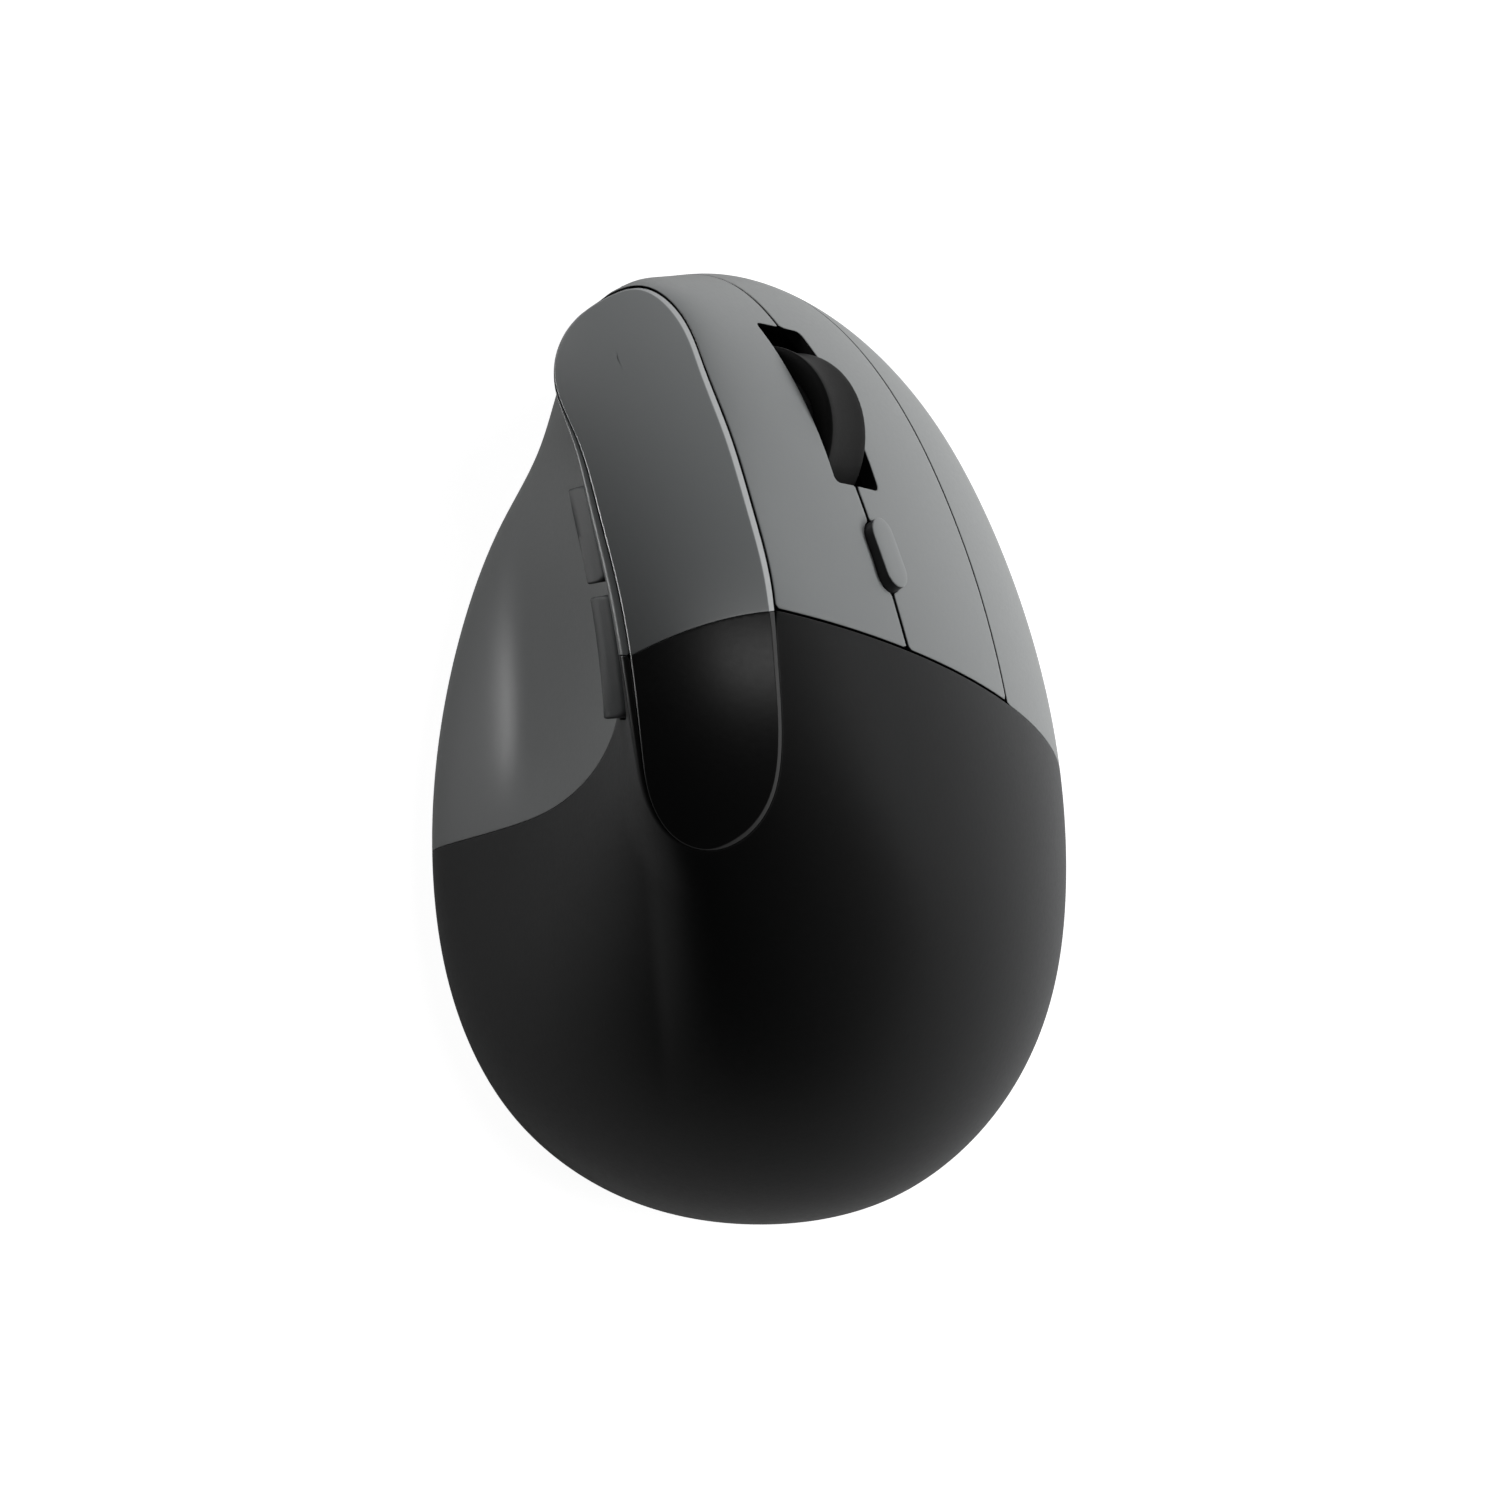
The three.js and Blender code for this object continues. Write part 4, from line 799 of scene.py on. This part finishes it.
CREST_DIRECTIONS = -math.pi / 2 + np.arange(CREST_TURNS) * 2 * math.pi / CREST_TURNS
CREST_ROWS = np.concatenate([np.linspace(0, 1, 30, endpoint=False), 1 + np.linspace(0, 1, 10) ** 1.6])
CREST = Surface(crest_surface, CREST_DIRECTIONS, CREST_ROWS, True, crest_ahead, weld=crest_weld())

for name, sign, slot, highlight_finish in [
    ("crest_cover", 1, "graphite_shell", GRAPHITE_PAINTED_HIGHLIGHT), ("crest_cap", -1, "black_shell", BLACK_PAINTED_HIGHLIGHT),
]:
    def crest_level(t, s, p):
        return (sign * from_crest_line(p) - CREST_SPLIT) / CREST_ROUNDING

    points, faces, inside = shell(CREST, crest_level, CREST_ROUNDING, CREST_DEPTH)
    fallen = crest_height(points[:, 0], points[:, 1]) + CREST_PROUD - points[:, 2]
    # points down the chamfer; faces made of them get the paler third finish, a painted highlight along the
    # strip's edge
    painted_highlight_points = (fallen > 0.02) & (fallen < 0.6)
    plain = finished(points, faces, inside)
    parts = [2 if all(painted_highlight_points[face]) else part for face, part in zip(faces, plain)]
    obj = make(f"fine_{name}", points, faces, [SLOT_FINISH[slot], INNER_BLACK_AND_SHADE, highlight_finish], parts)
    stand_for(obj, "housing", name)


# ---------------------------------------------------------------- thumb buttons

def thumb_surface(t, v):
    """The skin pushed out under the thumb buttons' top line, into a ledge with a rounded brow."""
    p = skin(t, v)
    depth = thumb_drop(p)
    ledge = 0.1 + 1.3 * np.maximum(depth, 0)
    face = 2.35 - 0.16 * (depth - 1.8)
    proud = least(0.4, ledge, face)
    return p + proud[..., None] * skin_normal(t, v) * np.array([1, 1, 0])


def thumb_ahead(t, v):
    """Wall direction of the thumb buttons: level, straight into the body."""
    return unit(skin_normal(t, v) * np.array([1, 1, 0]))


THUMB_TURNS, THUMB_ROWS = np.radians(np.linspace(90, 215, 700)), np.linspace(0.55, 0.985, 130)
THUMB = Surface(thumb_surface, THUMB_TURNS, THUMB_ROWS, False, thumb_ahead)

for name in THUMB_BUTTONS:
    def button_level(t, v, p):
        return -from_thumb_button(skin(t, v), name) / THUMB_ROUNDING

    points, faces, inside = shell(THUMB, button_level, THUMB_ROUNDING, THUMB_DEPTH, 5)
    obj = make(f"fine_{name}", points, faces, [BUTTON])
    stand_for(obj, name, name)


# ---------------------------------------------------------------- lathed and lofted pieces

def rings(rows, closed=True):
    """Faces between rows of points, each row a ring; the ends are closed unless the rows join up."""
    n = len(rows[0])
    faces = [
        [r * n + i, r * n + (i + 1) % n, (r + 1) * n + (i + 1) % n, (r + 1) * n + i]
        for r in range(len(rows) - 1) for i in range(n)
    ]
    if closed:
        faces += [list(range(n))[::-1], [(len(rows) - 1) * n + i for i in range(n)]]
    else:
        faces += [
            [(len(rows) - 1) * n + i, (len(rows) - 1) * n + (i + 1) % n, (i + 1) % n, i] for i in range(n)
        ]
    return faces


def lathe(profile, turns=160):
    """A ring about the X axis from a closed profile of (x, radius)."""
    angle = np.arange(turns) * 2 * math.pi / turns
    rows = [np.stack([0 * angle + x, r * np.cos(angle), r * np.sin(angle)], 1) for x, r in profile]
    return np.concatenate(rows), rings(rows, closed=False)


def rounded_corner(cx, cy, radius, from_deg, to_deg, steps=6):
    """Points along an arc."""
    angles = np.radians(np.linspace(from_deg, to_deg, steps + 1))
    return [(cx + radius * math.cos(a), cy + radius * math.sin(a)) for a in angles]


tread = [(x, TYRE - 0.3 * (1 - (x / 2.6) ** 2)) for x in np.linspace(-2.4, 2.4, 13)]
tyre_profile = (
    [(-3.0, HUB + 0.1), (-3.45, TYRE - 1.0)] + rounded_corner(-2.85, TYRE - 0.6, 0.6, 180, 95)
    + tread + rounded_corner(2.85, TYRE - 0.6, 0.6, 85, 0) + [(3.45, TYRE - 1.0), (3.0, HUB + 0.1)]
)
points, faces = lathe(tyre_profile)
# the tyre's side walls take the near-black inner finish, darker than the tread
side_wall = [min(abs(points[i][0]) for i in face) > 2.99 for face in faces]
tyre = make("fine_wheel_tyre", outside(WHEEL, points), faces, [RUBBER, INNER_BLACK_AND_SHADE], side_wall)
stand_for(tyre, "wheel", "wheel_tyre")


def oblong(width, length, steps=24):
    """A stadium outline round the origin."""
    points = []
    for side in (0, 1):
        angles = math.pi * (side + np.arange(steps) / (steps - 1))
        cy = (length - width) / 2 * (1 if side == 0 else -1)
        points += [(width / 2 * math.cos(a), cy + width / 2 * math.sin(a)) for a in angles]
    return np.array(points)


def speed_cap():
    """The pointer speed button: an oblong cap with a darker wall and a slightly domed top."""
    edge = [(0.12 * (1 - math.cos(a)), 0.12 * math.sin(a)) for a in np.radians([0, 22, 45, 67, 90])]
    dome = [(inset, 0.12 + 0.1 * (1 - (1 - inset / 1.7) ** 2)) for inset in (0.4, 0.8, 1.2, 1.65)]
    rows = []
    for inset, z in [(0.25, -3.4), (0.0, -3.2)] + edge + dome:
        plan = oblong(SPEED_WIDTH - 2 * inset, SPEED_LENGTH - 2 * inset)
        rows.append(np.column_stack([plan, z + 8.8 + 0.13 * plan[:, 1]]))
    faces = rings(rows)
    # the wall rows take the darker black plastic finish, the rest the graphite one
    darker_wall = [k < 2 * len(rows[0]) for k in range(len(faces))]
    return outside(SPEED, np.concatenate(rows)), faces, darker_wall


points, faces, darker_wall = speed_cap()
cap = make("fine_speed_button", points, faces, [GRAPHITE, PLASTIC], darker_wall)
stand_for(cap, "speed_button", "speed_button")


# ---------------------------------------------------------------- pieces carried over from the CAD frame

NODE_SLOTS = {
    "steel": [
        "wheel_axle", "board_screw", "base_screw", "main_board_screw", "battery_plate", "battery_spring",
        "power_switch",
    ],
    "board": ["finger_board", "thumb_board", "main_board"],
    "white_plastic": [
        "finger_board_socket", "thumb_board_socket", "finger_socket", "thumb_socket", "power_knob",
        "pairing_button",
    ],
    "glide_pad": ["front_foot", "thumb_side_foot", "finger_side_foot", "rear_foot"],
    "clear_lens": ["sensor_lens"],
    "cell_wrap": ["battery_cell"],
    "cable": ["finger_cable", "thumb_cable"],
}


def slot_of(node):
    """The material slot of a CAD node; numbered nodes share the name before the number."""
    stem = node.rstrip("0123456789").rstrip("_")
    return next((slot for slot, names in NODE_SLOTS.items() if stem in names), "black_plastic")


for name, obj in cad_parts.items():
    if obj.hide_render:
        continue
    finish = SLOT_FINISH[slot_of(name)]
    if obj.material_slots:
        for holder in obj.material_slots:
            holder.link = "OBJECT"
            holder.material = finish
    else:
        obj.data.materials.append(finish)


# ---------------------------------------------------------------- stage, light and camera

TABLE_GLOW, TABLE_MIRRORED = 0.93, 0.5  # how bright the table looks, and how pale it is in reflections
TABLE_HALF, TABLE_Z = 4.0, -0.0001
BACKDROP_SEEN, BACKDROP_FELT = 0.98, 0.032
FOCAL, SENSOR = 600, 36
VIEW_WIDTH, VIEW_Z = 0.1696, 0.03  # width of the picture, at this height


def table(finish):
    mesh = bpy.data.meshes.new("floor")
    h = TABLE_HALF
    mesh.from_pydata([(-h, -h, 0), (h, -h, 0), (h, h, 0), (-h, h, 0)], [], [(0, 1, 2, 3)])
    mesh.materials.append(finish)
    obj = bpy.data.objects.new("floor", mesh)
    obj.location = (0, 0, TABLE_Z)
    bpy.context.scene.collection.objects.link(obj)


def softbox(name, energy, size, location, mirrored=True, shines=True):
    """A soft lamp aimed at the object; it can be left out of reflections, or be seen in them only."""
    light = bpy.data.lights.new(name, "AREA")
    light.shape = "RECTANGLE"
    light.size, light.size_y = size
    light.energy = energy
    obj = bpy.data.objects.new(name, light)
    obj.location = location
    obj.rotation_euler = (Vector((0, 0, VIEW_Z)) - obj.location).to_track_quat("-Z", "Y").to_euler()
    obj.visible_glossy = mirrored
    obj.visible_diffuse = shines
    bpy.context.scene.collection.objects.link(obj)


def table_finish():
    """A white table: near white to the camera, and a plain grey surface to everything else."""
    made = material("floor_finish", (0.5, 0.5, 0.5), 0.8, grain=60, bump=0.01, drift=0.01)
    nodes, links = made.node_tree.nodes, made.node_tree.links
    lit, pick, path = (nodes.new(f"ShaderNode{kind}") for kind in ("AddShader", "MixShader", "LightPath"))
    glow, dim = nodes.new("ShaderNodeEmission"), nodes.new("ShaderNodeBsdfDiffuse")
    glow.inputs["Strength"].default_value = TABLE_GLOW
    dim.inputs["Color"].default_value = (TABLE_MIRRORED,) * 3 + (1,)
    links.new(nodes["Principled BSDF"].outputs["BSDF"], lit.inputs[0])
    links.new(glow.outputs["Emission"], lit.inputs[1])
    links.new(path.outputs["Is Camera Ray"], pick.inputs["Fac"])
    links.new(dim.outputs["BSDF"], pick.inputs[1])
    links.new(lit.outputs["Shader"], pick.inputs[2])
    links.new(pick.outputs["Shader"], nodes["Material Output"].inputs["Surface"])
    return made


def backdrop():
    """A plain world: pale to the camera, dark to the object."""
    world = bpy.data.worlds.new("studio")
    world.use_nodes = True
    nodes, links = world.node_tree.nodes, world.node_tree.links
    path, pick = nodes.new("ShaderNodeLightPath"), nodes.new("ShaderNodeMapRange")
    pick.inputs["To Min"].default_value = BACKDROP_FELT
    pick.inputs["To Max"].default_value = BACKDROP_SEEN
    links.new(path.outputs["Is Camera Ray"], pick.inputs["Value"])
    links.new(pick.outputs["Result"], nodes["Background"].inputs["Strength"])
    nodes["Background"].inputs["Color"].default_value = (1, 1, 1, 1)
    bpy.context.scene.world = world


def overhead_camera():
    """A long lens straight above the mouse, its front at the top of the picture."""
    lens = bpy.data.cameras.new("camera")
    lens.lens = FOCAL
    lens.clip_end = 50
    camera = bpy.data.objects.new("camera", lens)
    camera.location = (0, 0, VIEW_Z + VIEW_WIDTH * FOCAL / SENSOR)
    bpy.context.scene.collection.objects.link(camera)
    bpy.context.scene.camera = camera


table(table_finish())
softbox("right_softbox", 60, (1.7, 0.36), (1.5, 0.45, 0.2), mirrored=False)
softbox("left_softbox", 6, (1.2, 0.3), (-1.35, 0.6, 0.16))
softbox("left_strip", 16, (1.4, 0.2), (-1.4, 0.35, 0.14), shines=False)
softbox("front_softbox", 7, (0.8, 0.3), (-0.6, 1.3, 0.15))
softbox("top_softbox", 5.5, (0.4, 0.8), (0.62, 0.1, 1.3))
backdrop()
bpy.context.scene.view_settings.view_transform = "Standard"
overhead_camera()
